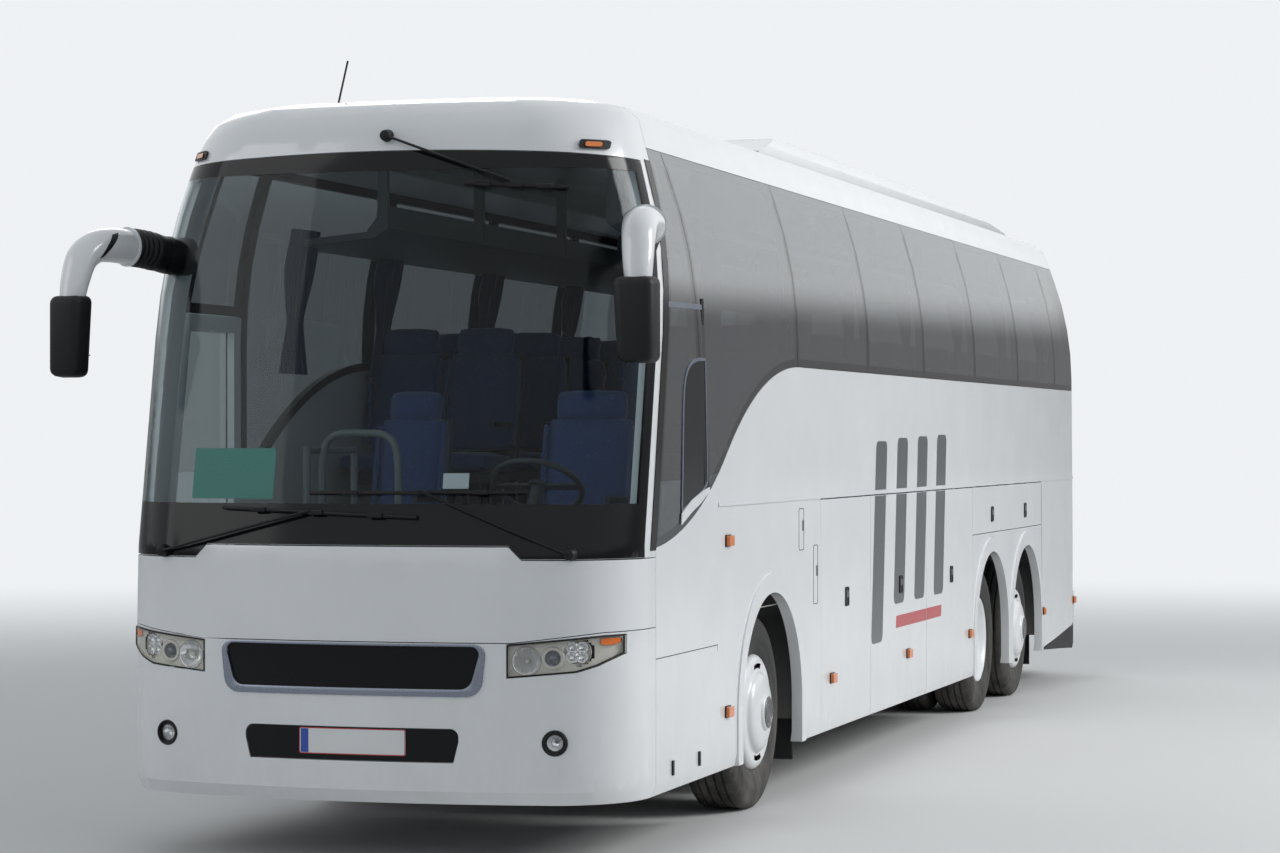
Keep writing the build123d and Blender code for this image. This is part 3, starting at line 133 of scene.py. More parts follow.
def make_grain_group():
    """Fine mottling: a roughness that wanders and a height for the bump."""
    tree, given, made = group_of(
        "fine_grain",
        (("Scale", "Float", 40.0), ("Roughness", "Float", 0.4), ("Spread", "Float", 0.1)),
        (("Roughness", "Float", None), ("Height", "Float", None), ("Patches", "Float", None)),
    )
    place = wire(tree, "TexCoord").outputs["Object"]
    fine = wire(
        tree, "TexNoise", (("Vector", place), ("Scale", given.outputs["Scale"])), Detail=4.0, Roughness=0.6
    )
    broad = wire(tree, "TexNoise", (("Vector", place),), Scale=2.3, Detail=3.0, Roughness=0.55)
    both = wire(tree, "Math", ((0, fine.outputs["Fac"]), (1, broad.outputs["Fac"])), operation="ADD")
    swing = wire(tree, "Math", ((0, both.outputs[0]),), operation="SUBTRACT")
    swing.inputs[1].default_value = 1.0
    spread = wire(tree, "Math", ((0, swing.outputs[0]), (1, given.outputs["Spread"])), operation="MULTIPLY")
    rough = wire(
        tree, "Math", ((0, spread.outputs[0]), (1, given.outputs["Roughness"])), operation="ADD",
        use_clamp=True,
    )
    tree.links.new(made.inputs["Roughness"], rough.outputs[0])
    tree.links.new(made.inputs["Height"], fine.outputs["Fac"])
    tree.links.new(made.inputs["Patches"], broad.outputs["Fac"])
    return tree


def make_dust_group():
    """Road dust: a colour laid over the paint, thick near the ground and patchy."""
    tree, given, made = group_of(
        "road_dust",
        (
            ("Paint", "Color", (0.8, 0.8, 0.8, 1)), ("Dust", "Color", (0.34, 0.31, 0.27, 1)),
            ("Amount", "Float", 0.3), ("Top", "Float", 1.3),
        ),
        (("Color", "Color", None), ("Mask", "Float", None)),
    )
    place = wire(tree, "TexCoord").outputs["Object"]
    height = wire(tree, "SeparateXYZ", ((0, place),)).outputs["Z"]
    low = wire(
        tree, "MapRange", (("Value", height), ("From Max", given.outputs["Top"])), From_Min=0.25,
        To_Min=1.0, To_Max=0.06,
    )
    streak = wire(tree, "Mapping", (("Vector", place),))
    streak.inputs["Scale"].default_value = (1, 1, 0.35)
    speck = wire(tree, "TexNoise", (("Vector", streak.outputs[0]),), Scale=9.0, Detail=8.0, Roughness=0.7)
    patch = wire(tree, "MapRange", (("Value", speck.outputs["Fac"]),), From_Min=0.35, From_Max=0.75)
    mask = wire(tree, "Math", ((0, low.outputs[0]), (1, patch.outputs[0])), operation="MULTIPLY")
    share = wire(
        tree, "Math", ((0, mask.outputs[0]), (1, given.outputs["Amount"])), operation="MULTIPLY",
        use_clamp=True,
    )
    blend = wire(tree, "Mix", (("Factor", share.outputs[0]),), data_type="RGBA")
    tree.links.new(blend.inputs["A"], given.outputs["Paint"])
    tree.links.new(blend.inputs["B"], given.outputs["Dust"])
    tree.links.new(made.inputs["Color"], blend.outputs["Result"])
    tree.links.new(made.inputs["Mask"], share.outputs[0])
    return tree


def make_weave_group():
    """Woven cloth: crossing threads for the height and flecks of a second colour."""
    tree, given, made = group_of(
        "cloth_weave",
        (
            ("Ground", "Color", (0.04, 0.07, 0.2, 1)), ("Fleck", "Color", (0.12, 0.2, 0.4, 1)),
            ("Scale", "Float", 260.0),
        ),
        (("Color", "Color", None), ("Height", "Float", None)),
    )
    place = wire(tree, "TexCoord").outputs["Object"]
    warp = wire(
        tree, "TexWave", (("Vector", place), ("Scale", given.outputs["Scale"])), bands_direction="Z",
        Distortion=0.6,
    )
    weft = wire(
        tree, "TexWave", (("Vector", place), ("Scale", given.outputs["Scale"])), bands_direction="X",
        Distortion=0.6,
    )
    threads = wire(tree, "Math", ((0, warp.outputs["Fac"]), (1, weft.outputs["Fac"])), operation="MAXIMUM")
    spots = wire(tree, "TexVoronoi", (("Vector", place),), Scale=38.0)
    fleck = wire(
        tree, "MapRange", (("Value", spots.outputs["Distance"]),), From_Min=0.12, From_Max=0.3, To_Min=0.8,
        To_Max=0.0,
    )
    shade = wire(tree, "TexNoise", (("Vector", place),), Scale=5.0, Detail=3.0)
    amount = wire(
        tree, "Math", ((0, fleck.outputs[0]), (1, shade.outputs["Fac"])), operation="MULTIPLY",
        use_clamp=True,
    )
    blend = wire(tree, "Mix", (("Factor", amount.outputs[0]),), data_type="RGBA")
    tree.links.new(blend.inputs["A"], given.outputs["Ground"])
    tree.links.new(blend.inputs["B"], given.outputs["Fleck"])
    tree.links.new(made.inputs["Color"], blend.outputs["Result"])
    tree.links.new(made.inputs["Height"], threads.outputs[0])
    return tree


# Shader groups and materials by name, once they are made
GROUPS, MADE = {}, {}
# finish: colour, roughness, spread, grain scale, bump strength, bump distance, shader sockets
FINISHES = {
    "body_paint": (
        (0.8, 0.81, 0.82), 0.2, 0.05, 60, 0.012, 0.002, {"Coat Weight": 0.6, "Coat Roughness": 0.04},
    ),
    "wheel_paint": (
        (0.78, 0.79, 0.8), 0.3, 0.1, 90, 0.03, 0.002, {"Coat Weight": 0.3, "Coat Roughness": 0.1},
    ),
    "black_gloss": ((0.006, 0.006, 0.007), 0.12, 0.04, 50, 0.008, 0.001, {"Specular IOR Level": 0.22}),
    "black_moulding": ((0.01, 0.01, 0.011), 0.48, 0.14, 420, 0.08, 0.001, {"Specular IOR Level": 0.25}),
    "black_rubber": ((0.014, 0.014, 0.014), 0.68, 0.12, 240, 0.12, 0.001, {}),
    "tyre_rubber": ((0.022, 0.022, 0.022), 0.82, 0.12, 160, 0.2, 0.0015, {}),
    "chassis_black": ((0.03, 0.03, 0.032), 0.55, 0.2, 70, 0.18, 0.002, {}),
    "underbody_grey": ((0.085, 0.086, 0.088), 0.62, 0.2, 45, 0.15, 0.002, {}),
    "cast_iron": ((0.11, 0.11, 0.115), 0.6, 0.2, 130, 0.35, 0.002, {"Metallic": 0.6}),
    "floor_vinyl": ((0.13, 0.125, 0.12), 0.55, 0.15, 180, 0.12, 0.001, {}),
    "cab_plastic": ((0.04, 0.045, 0.055), 0.6, 0.12, 520, 0.08, 0.001, {}),
    "trim_grey": ((0.17, 0.18, 0.19), 0.5, 0.12, 380, 0.04, 0.001, {}),
    "silver_frame": ((0.26, 0.29, 0.35), 0.28, 0.08, 160, 0.03, 0.001, {"Metallic": 0.8}),
    "bright_reflector": ((0.8, 0.81, 0.82), 0.1, 0.05, 80, 0.01, 0.001, {"Metallic": 0.6}),
    "lamp_housing": ((0.62, 0.61, 0.55), 0.3, 0.08, 120, 0.02, 0.001, {"Metallic": 0.1}),
    "projector_glass": ((0.12, 0.14, 0.16), 0.06, 0.03, 60, 0.004, 0.001, {"Coat Weight": 1.0}),
    "hub_grey": ((0.16, 0.16, 0.165), 0.42, 0.1, 140, 0.06, 0.001, {"Metallic": 0.5}),
    "mirror_face": ((0.8, 0.82, 0.84), 0.02, 0.01, 30, 0.004, 0.001, {"Metallic": 1.0}),
    "plate_white": ((0.75, 0.76, 0.76), 0.35, 0.08, 220, 0.03, 0.001, {"Coat Weight": 0.3}),
    "plate_blue": ((0.02, 0.07, 0.4), 0.35, 0.08, 220, 0.03, 0.001, {"Coat Weight": 0.3}),
    "card_green": ((0.03, 0.3, 0.24), 0.6, 0.1, 220, 0.03, 0.001, {}),
    "graphic_dark": ((0.07, 0.075, 0.08), 0.3, 0.06, 60, 0.01, 0.001, {"Coat Weight": 0.4}),
    "graphic_red": ((0.5, 0.03, 0.035), 0.3, 0.06, 60, 0.01, 0.001, {"Coat Weight": 0.4}),
    "lamp_orange": (
        (0.9, 0.22, 0.02), 0.14, 0.05, 150, 0.06, 0.001, {"Coat Weight": 0.6, "Transmission Weight": 0.15},
    ),
    "lamp_red": (
        (0.5, 0.012, 0.01), 0.14, 0.05, 150, 0.06, 0.001, {"Coat Weight": 0.6, "Transmission Weight": 0.1},
    ),
}
# finish: colour, roughness, index of refraction, share of the light that passes a pane
GLASSES = {
    "windscreen_glass": ((0.62, 0.7, 0.72), 0.0, 1.2, 0.4),
    "door_glass": ((0.75, 0.8, 0.8), 0.0, 1.3, 0.4),
    "tinted_glass": ((0.5, 0.53, 0.55), 0.0, 3.0, 0.14),
    "lamp_cover": ((0.95, 0.96, 0.97), 0.0, 1.4, 0.85),
}
# finish: ground, fleck, weave scale, bump strength
CLOTHS = {
    "seat_cloth": ((0.035, 0.07, 0.2), (0.1, 0.18, 0.4), 240, 0.35),
    "curtain_cloth": ((0.02, 0.04, 0.1), (0.03, 0.06, 0.14), 300, 0.25),
}
# finish: how much more dust than the paint, and how high it reaches
DUSTY = {
    "body_paint": (1.0, 1.1), "wheel_paint": (1.5, 0.9), "chassis_black": (4.0, 1.2),
    "underbody_grey": (4.0, 1.2), "tyre_rubber": (3.0, 0.9),
}
# How far a finish's patches are darker and lighter than its colour
PATCH_DARK, PATCH_LIGHT = 0.94, 1.05


def fresh_material(name):
    """A new material's nodes and its shader; the prefix keeps it apart from the frame's own materials."""
    material = MADE[name] = bpy.data.materials.new("coach_" + name)
    material.use_nodes = True
    return material.node_tree, material.node_tree.nodes["Principled BSDF"]


def use_group(tree, name, **values):
    """A shader group's node, with its plain values."""
    node = tree.nodes.new("ShaderNodeGroup")
    node.node_tree = GROUPS[name]
    for key, value in values.items():
        node.inputs[key].default_value = value
    return node


def make_finish(name, dustiness, colour, rough, spread, scale, strength, distance, sockets):
    """A solid finish with fine grain, patches, a bump and, where it is listed, road dust."""
    tree, shader = fresh_material(name)
    grain = use_group(tree, "fine_grain", Scale=scale, Roughness=rough, Spread=spread)
    tree.links.new(shader.inputs["Roughness"], grain.outputs["Roughness"])
    bump = wire(tree, "Bump", (("Height", grain.outputs["Height"]),), Strength=strength, Distance=distance)
    tree.links.new(shader.inputs["Normal"], bump.outputs[0])
    for key, value in sockets.items():
        shader.inputs[key].default_value = value
    shade = wire(tree, "MixRGB", (("Fac", grain.outputs["Patches"]),))
    shade.inputs[1].default_value = [c * PATCH_DARK for c in colour] + [1]
    shade.inputs[2].default_value = [min(1, c * PATCH_LIGHT) for c in colour] + [1]
    source = shade.outputs[0]
    if name in DUSTY:
        amount, top = DUSTY[name]
        dust = use_group(tree, "road_dust", Amount=amount * dustiness, Top=top)
        tree.links.new(dust.inputs["Paint"], source)
        source = dust.outputs["Color"]
    tree.links.new(shader.inputs["Base Color"], source)


def make_glass(name, colour, rough, index, through):
    """Glass that still lets the lamps reach what is behind it."""
    tree, shader = fresh_material(name)
    shader.inputs["Base Color"].default_value = (*colour, 1)
    shader.inputs["Transmission Weight"].default_value = 1.0
    shader.inputs["IOR"].default_value = index
    shader.inputs["Roughness"].default_value = rough
    clear = wire(tree, "BsdfTransparent", Color=(through, through, through, 1))
    shadow = wire(tree, "LightPath").outputs["Is Shadow Ray"]
    mix = wire(tree, "MixShader", ((0, shadow), (1, shader.outputs[0]), (2, clear.outputs[0])))
    tree.links.new(tree.nodes["Material Output"].inputs["Surface"], mix.outputs[0])


def make_cloth(name, ground, fleck, scale, strength):
    """A woven cloth."""
    tree, shader = fresh_material(name)
    weave = use_group(tree, "cloth_weave", Ground=(*ground, 1), Fleck=(*fleck, 1), Scale=scale)
    tree.links.new(shader.inputs["Base Color"], weave.outputs["Color"])
    bump = wire(tree, "Bump", (("Height", weave.outputs["Height"]),), Strength=strength, Distance=0.001)
    tree.links.new(shader.inputs["Normal"], bump.outputs[0])
    grain = use_group(tree, "fine_grain", Scale=200.0, Roughness=0.85, Spread=0.1)
    tree.links.new(shader.inputs["Roughness"], grain.outputs["Roughness"])
    shader.inputs["Sheen Weight"].default_value = 0.3


# Mesh helpers
ACROSS, ALONG, UP = (1, 0, 0), (0, 1, 0), (0, 0, 1)
# Facets of a rounded corner, and the smallest distance that counts
CORNER_STEPS, TINY = 5, 1e-6
# From how far off rays fall on the coach, and how far aside the rays fall that find the skin beside a seam
FAR, RAY_ASIDE = 9, 0.006
# Past this angle, in radians, soften bevels an edge
SHARP_ANGLE = 0.8


def merged(node):
    """A CAD node's mesh with its loose triangles joined."""
    bm = bmesh.new()
    bm.from_mesh(CAD[node].data)
    bmesh.ops.remove_doubles(bm, verts=bm.verts, dist=1e-5)
    return bm


def put_kept(bm, part):
    """Adds a part that already carries its own finishes."""
    spare = bpy.data.meshes.new("spare")
    part.to_mesh(spare)
    part.free()
    bm.from_mesh(spare)
    bpy.data.meshes.remove(spare)


def put(bm, part, place=None, paint=0):
    """Adds a part in one finish to a piece, moved into place."""
    if place is not None:
        bmesh.ops.transform(part, matrix=place, verts=part.verts)
        if place.determinant() < 0:
            bmesh.ops.reverse_faces(part, faces=part.faces)
    for face in part.faces:
        face.material_index = paint
    put_kept(bm, part)


def put_all(bm, part, places):
    """Adds the same part at several places."""
    for place in places[:-1]:
        put(bm, part.copy(), place)
    put(bm, part, places[-1])


def shift(bm, vector):
    """Moves a part."""
    bmesh.ops.translate(bm, vec=vector, verts=bm.verts)
    return bm


def bevel(bm, geom, size, segments=2, affect="EDGES"):
    """Rounds off edges, or the corners of a flat part."""
    bmesh.ops.bevel(
        bm, geom=list(geom), offset=size, affect=affect, segments=segments, profile=0.5, material=-1,
        clamp_overlap=True,
    )


def cut(bm, at, normal, clear=False):
    """Cuts a part along a plane, and clears what lies past it."""
    geom = bm.verts[:] + bm.edges[:] + bm.faces[:]
    bmesh.ops.bisect_plane(bm, geom=geom, plane_co=at, plane_no=normal, dist=TINY, clear_outer=clear)


def block(low, high, soft=0.0, segments=2):
    """A box between two corners, with rounded edges."""
    bm = bmesh.new()
    bmesh.ops.create_cube(bm, size=1)
    low, high = Vector(low), Vector(high)
    bmesh.ops.scale(bm, vec=high - low, verts=bm.verts)
    shift(bm, (low + high) / 2)
    if soft:
        bevel(bm, bm.edges, soft, segments)
    return bm


def drum(radius, first, last, axis, soft, steps, centre=(0, 0, 0), top=None):
    """A cylinder or cone along an axis, from first to last, with rounded rims."""
    bm = bmesh.new()
    top = radius if top is None else top
    bmesh.ops.create_cone(
        bm, cap_ends=True, segments=steps, radius1=radius, radius2=top, depth=abs(last - first)
    )
    rims = [e for e in bm.edges if len(e.link_faces) == 2 and any(len(f.verts) > 4 for f in e.link_faces)]
    bevel(bm, rims, soft, 3)
    way = Vector(axis)
    turn = GROUND_UP.rotation_difference(way if last > first else -way)
    place = Matrix.Translation(Vector(centre) + way * (first + last) / 2) @ turn.to_matrix().to_4x4()
    bmesh.ops.transform(bm, matrix=place, verts=bm.verts)
    return bm


def lathe(profile, steps):
    """A turned shape about the X axis from points (x, radius)."""
    bm = bmesh.new()
    verts = [bm.verts.new((x, 0, r)) for x, r in profile]
    edges = [bm.edges.new(pair) for pair in zip(verts, verts[1:])]
    bmesh.ops.spin(
        bm, geom=verts + edges, cent=(0, 0, 0), axis=ACROSS, angle=tau, steps=steps, use_merge=True
    )
    bmesh.ops.remove_doubles(bm, verts=bm.verts, dist=TINY)
    bmesh.ops.recalc_face_normals(bm, faces=bm.faces)
    return bm


def flat(points, plane="XZ", corner=0.0):
    """One face from an outline in a plane, XZ or YZ, with rounded corners."""
    bm = bmesh.new()
    for a, b in points:
        bm.verts.new((a, 0, b) if plane == "XZ" else (0, a, b))
    bmesh.ops.contextual_create(bm, geom=bm.verts)
    if corner:
        bevel(bm, bm.verts, corner, CORNER_STEPS, "VERTICES")
    return bm


def frame_of(bm, width):
    """Turns a face into a frame of that width."""
    made = bmesh.ops.inset_region(
        bm, faces=bm.faces, thickness=width, depth=0, use_boundary=True, use_even_offset=True
    )
    rim = set(made["faces"])
    bmesh.ops.delete(bm, geom=[f for f in bm.faces if f not in rim], context="FACES")
    return bm


def cut_up(bm, normal, first, last, step):
    """Cuts a part along parallel planes, so that it can bend."""
    place = first
    while place < last:
        cut(bm, Vector(normal) * place, normal)
        place += step
    return bm


def thicken(bm, vector):
    """Gives a face or a sheet its thickness along a vector, closed on all sides."""
    copy = bmesh.ops.extrude_face_region(bm, geom=bm.faces[:], use_keep_orig=True)
    verts = [v for v in copy["geom"] if isinstance(v, bmesh.types.BMVert)]
    bmesh.ops.translate(bm, vec=vector, verts=verts)
    bmesh.ops.recalc_face_normals(bm, faces=bm.faces)
    return bm


def sweep(points, radii, steps, flatten=1.0):
    """A closed bar along points, round or flattened, with one radius or a radius at each point."""
    bm = bmesh.new()
    points = [Vector(p) for p in points]
    if not hasattr(radii, "__len__"):
        radii = [radii] * len(points)
    ring = None
    for k, (point, radius) in enumerate(zip(points, radii)):
        way = (points[min(k + 1, len(points) - 1)] - points[max(k - 1, 0)]).normalized()
        aside = way.cross(GROUND_UP)
        aside = aside.normalized() if aside.length > 1e-4 else Vector(ACROSS)
        turn = Matrix((aside, aside.cross(way), way)).transposed().to_4x4()
        place = Matrix.Translation(point) @ turn @ Matrix.Diagonal((radius, radius * flatten, 1, 1))
        if ring is None:
            ring = bmesh.ops.create_circle(bm, segments=steps, radius=1, cap_ends=True)["verts"]
            rim = bm.edges[:]
        else:
            made = bmesh.ops.extrude_edge_only(bm, edges=rim)["geom"]
            ring = [v for v in made if isinstance(v, bmesh.types.BMVert)]
            rim = [e for e in made if isinstance(e, bmesh.types.BMEdge) and all(v in ring for v in e.verts)]
            bmesh.ops.transform(bm, matrix=last.inverted(), verts=ring)
        bmesh.ops.transform(bm, matrix=place, verts=ring)
        last = place
    bmesh.ops.contextual_create(bm, geom=rim)
    bmesh.ops.recalc_face_normals(bm, faces=bm.faces)
    return bm


def smooth_path(points, steps):
    """Points along a smooth curve through the given points."""
    points = [Vector(p) for p in points]
    ends = [2 * points[0] - points[1], *points, 2 * points[-1] - points[-2]]
    path = []
    for a, b, c, d in zip(ends, ends[1:], ends[2:], ends[3:]):
        for k in range(steps):
            t = k / steps
            square, cube = 2 * a - 5 * b + 4 * c - d, 3 * b - a - 3 * c + d
            path.append(0.5 * (2 * b + (c - a) * t + square * t**2 + cube * t**3))
    return path + [points[-1]]


# Starts of the names of the nodes that make up the outer skin, and the search trees made so far
SHELL_STARTS = (
    "front_", "side_", "luggage_", "service_", "window_", "roof_", "rear_", "engine_hatch", "windscreen",
    "headlamps",
)
SHELL = tuple(name for name in CAD if name.startswith(SHELL_STARTS))
SKINS = {}


def skin(*names):
    """A search tree of CAD nodes, to lay pieces on their surface."""
    names = names or SHELL
    if names not in SKINS:
        bm = bmesh.new()
        for name in names:
            bm.from_mesh(CAD[name].data)
        SKINS[names] = BVHTree.FromBMesh(bm)
        bm.free()
    return SKINS[names]


def drape(bm, way, tree=None, reach=FAR):
    """Lays a flat part on the coach: each point keeps its own height above the skin, met along way."""
    tree = tree or skin()
    way = Vector(way)
    aside = Vector((way.y, way.x, 0)) * RAY_ASIDE
    for vert in bm.verts:
        own = vert.co.dot(way)
        start = vert.co - way * (own + reach)
        hits = [tree.ray_cast(start + k * aside, way)[0] for k in (0, 1, -1)]
        depths = [hit.dot(way) for hit in hits if hit is not None]
        if depths:
            vert.co += way * min(depths)
    return bm


def piece(name, bm, finishes, replaces=(), body="body", angle=32, dedupe=True):
    """Turns a mesh into a finished piece that fills a slot, may stand for nodes and rides on a body."""
    if dedupe:
        bmesh.ops.remove_doubles(bm, verts=bm.verts, dist=TINY)
    mesh = bpy.data.meshes.new(name)
    bm.to_mesh(mesh)
    bm.free()
    for polygon in mesh.polygons:
        polygon.use_smooth = True
    mesh.set_sharp_from_angle(angle=radians(angle))
    made = bpy.data.objects.new(name, mesh)
    bpy.context.scene.collection.objects.link(made)
    for item in finishes:
        mesh.materials.append(MADE[item])
    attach(made, body)
    if replaces:
        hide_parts(*replaces)
    return made


def rect(x0, x1, z0, z1):
    """The corners of a rectangle."""
    return ((x0, z0), (x1, z0), (x1, z1), (x0, z1))


def upright(x, half, foot, head):
    """A rectangle about a line at x, from its foot to its head."""
    return rect(x - half, x + half, foot, head)


def around(a, b, half_wide, half_tall):
    """The corners of a rectangle about its middle."""
    return rect(a - half_wide, a + half_wide, b - half_tall, b + half_tall)


def rounded(corners):
    """An outline from corners (a, b, radius), each turned into an arc."""
    points = []
    for k, (a, b, radius) in enumerate(corners):
        here = Vector((a, b))
        back = (Vector(corners[k - 1][:2]) - here).normalized()
        ahead = (Vector(corners[(k + 1) % len(corners)][:2]) - here).normalized()
        half = back.angle(ahead) / 2
        middle = here + (back + ahead).normalized() * radius / sin(half)
        start, end = (here + way * radius / tan(half) - middle for way in (back, ahead))
        first = atan2(start.y, start.x)
        turn = (atan2(end.y, end.x) - first + pi) % tau - pi
        for step in range(CORNER_STEPS + 1):
            angle = first + turn * step / CORNER_STEPS
            points.append((middle.x + radius * cos(angle), middle.y + radius * sin(angle)))
    return points


def ring_between(outer, inner):
    """A flat frame in XZ between two outlines with the same number of points."""
    bm = bmesh.new()
    rows = [[bm.verts.new((a, 0, b)) for a, b in outline] for outline in (outer, inner)]
    count = len(outer)
    for k in range(count):
        after = (k + 1) % count
        bm.faces.new((rows[0][k], rows[0][after], rows[1][after], rows[1][k]))
    return bm


def soften(bm, size):
    """Bevels the sharp edges of a part."""
    bm.normal_update()
    sharp = [e for e in bm.edges if len(e.link_faces) == 2 and e.calc_face_angle() > SHARP_ANGLE]
    bevel(bm, sharp, size)
    return bm


# The packed frame's own finishes


# start of a node's name: its finish
NODE_FINISH = (
    ("side_glass", "tinted_glass"),
    ("rear_glass", "tinted_glass"),
    ("front_door_glass", "door_glass"),
    ("windscreen", "windscreen_glass"),
    ("window_frame", "black_moulding"),
    ("front_grille", "black_gloss"),
    ("mirrors", "black_moulding"),
    ("wipers", "black_moulding"),
    ("whip_antenna", "black_moulding"),
    ("headlamps", "lamp_cover"),
    ("signal_lamps", "lamp_orange"),
    ("seat_backs", "seat_cloth"),
    ("seats", "seat_cloth"),
    ("door_steps", "floor_vinyl"),
    ("rear_guards", "black_moulding"),
    ("dashboard", "cab_plastic"),
    ("cabin_fittings", "trim_grey"),
    ("floor_deck", "floor_vinyl"),
    ("underbody", "underbody_grey"),
    ("engine_block", "cast_iron"),
    ("chassis", "chassis_black"),
    ("axles", "chassis_black"),
    ("knuckle", "chassis_black"),
    ("track_rod", "chassis_black"),
    ("door_arms", "chassis_black"),
    ("wheel", "wheel_paint"),
    ("tyre", "tyre_rubber"),
)
# Past this angle, in degrees, an edge of the frame stays sharp
FRAME_ANGLE = 28


def dress_frame():
    """Gives every packed node its material, and smooths the curved ones."""
    tree = make_smooth_tree()
    angle_socket = next(item.identifier for item in tree.interface.items_tree if item.name == "Angle")
    for name, obj in CAD.items():
        kind = next((f for start, f in NODE_FINISH if name.startswith(start)), "body_paint")
        obj.data.materials.clear()
        obj.data.materials.append(MADE[kind])
        obj.data.polygons.foreach_set("use_smooth", [True] * len(obj.data.polygons))
        weld = obj.modifiers.new("weld", "WELD")
        weld.merge_threshold = 1e-5
        smooth = obj.modifiers.new("smooth", "NODES")
        smooth.node_group = tree
        smooth[angle_socket] = radians(FRAME_ANGLE)


def make_smooth_tree():
    """A modifier that shades faces smooth and keeps edges sharp past an angle."""
    tree = bpy.data.node_groups.new("smooth_by_angle", "GeometryNodeTree")
    tree.interface.new_socket("Mesh", in_out="INPUT", socket_type="NodeSocketGeometry")
    tree.interface.new_socket("Angle", in_out="INPUT", socket_type="NodeSocketFloat").default_value = 0.5
    tree.interface.new_socket("Mesh", in_out="OUTPUT", socket_type="NodeSocketGeometry")
    given, made = tree.nodes.new("NodeGroupInput"), tree.nodes.new("NodeGroupOutput")
    angle = tree.nodes.new("GeometryNodeInputMeshEdgeAngle")
    test = tree.nodes.new("FunctionNodeCompare")
    test.operation = "LESS_EQUAL"
    smooth = tree.nodes.new("GeometryNodeSetShadeSmooth")
    smooth.domain = "EDGE"
    tree.links.new(test.inputs[0], angle.outputs["Unsigned Angle"])
    tree.links.new(test.inputs[1], given.outputs["Angle"])
    tree.links.new(smooth.inputs["Geometry"], given.outputs["Mesh"])
    tree.links.new(smooth.inputs["Shade Smooth"], test.outputs[0])
    tree.links.new(made.inputs[0], smooth.outputs[0])
    return tree


# Pieces: each function builds one group and is called by its own operator


# The clear part of the windscreen: its foot and head, and a point and the lean of its side edges
CLEAR_FOOT, CLEAR_HEAD = 1.66, 3.21
CLEAR_EDGE, CLEAR_LEAN = Vector((0, -5.99, 1.466)), Vector((0, 1, -0.2016)).normalized()


def make_windscreen():
    """The windscreen with the black border printed round its edge."""
    bm = merged("windscreen")
    cut(bm, GROUND_UP * CLEAR_FOOT, GROUND_UP)
    cut(bm, GROUND_UP * CLEAR_HEAD, GROUND_UP)
    cut(bm, CLEAR_EDGE, CLEAR_LEAN)
    for face in bm.faces:
        middle = face.calc_center_median()
        clear = CLEAR_FOOT <= middle.z <= CLEAR_HEAD and (middle - CLEAR_EDGE).dot(CLEAR_LEAN) <= 0
        face.material_index = 0 if clear else 1
    finishes = ("windscreen_glass", "black_gloss")
    piece("windscreen_pane", bm, finishes, replaces=("windscreen",))


# The front's own curve in plan, low on the bumper: its foremost point and its radius
NOSE_Y, BOW_R = -6.3965, 4.28


def front_bend(bm, depth):
    """Bends a flat part to the bumper's curve, some way behind its surface."""
    for vert in bm.verts:
        vert.co.y += NOSE_Y + BOW_R - (BOW_R * BOW_R - vert.co.x * vert.co.x) ** 0.5 + depth
    return bm


def trapezoid(foot_half, top_half, foot, top, foot_radius, top_radius):
    """The outline of a panel that is narrower at its foot."""
    return rounded((
        (-foot_half, foot, foot_radius), (foot_half, foot, foot_radius), (top_half, top, top_radius),
        (-top_half, top, top_radius),
    ))


def make_grille():
    """The grille: a black gloss panel, narrower at its foot, in a silver frame."""
    foot, top, step = 0.79, 1.028, 0.06
    line_z, line_wide, line_tall = 0.916, 0.993, 0.96
    outer = trapezoid(0.628, 0.654, foot, top, 0.075, 0.05)
    inner = trapezoid(0.578, 0.632, foot + 0.034, top - 0.01, 0.06, 0.035)
    bm = bmesh.new()
    frame_part = cut_up(ring_between(outer, inner), ACROSS, -0.6, 0.6, step)
    thicken(frame_part, (0, -0.014, 0))
    put(bm, front_bend(soften(frame_part, 0.004), 0.004), paint=0)
    line = ring_between(inner, [(x * line_wide, line_z + (z - line_z) * line_tall) for x, z in inner])
    cut_up(line, ACROSS, -0.6, 0.6, step)
    put(bm, front_bend(thicken(line, (0, -0.006, 0)), 0.006), paint=2)
    back = cut_up(flat(inner), ACROSS, -0.55, 0.6, step)
    put(bm, front_bend(thicken(back, (0, -0.004, 0)), 0.006), paint=1)
    finishes = ("silver_frame", "black_gloss", "black_moulding")
    piece("grille_panel", bm, finishes, replaces=("front_grille",))


LAMP_FINISHES = ("bright_reflector", "lamp_housing", "black_moulding", "lamp_orange", "projector_glass")
BRIGHT, HOUSING, RIM, AMBER, LENS = range(len(LAMP_FINISHES))
# The headlamp's outline, in X and Z, and the farthest X that it reaches
HEADLAMP = (
    (0.745, 0.878), (1.05, 0.905), (1.132, 0.933), (1.224, 0.985), (1.224, 1.068), (1.15, 1.066),
    (0.745, 1.027),
)
LAMP_REACH = 1.23
# Middle X and Z and radius of the openings in the lamp housing: bowl, projector, cluster
LAMP_HOLES = ((0.83, 0.953, 0.057), (0.948, 0.967, 0.045), (1.052, 0.993, 0.06))
# Size of the housing's facets, depth of its lamps, and facets round a lamp
LAMP_STEP, LAMP_BACK, LAMP_TURNS = 0.012, 0.027, 48
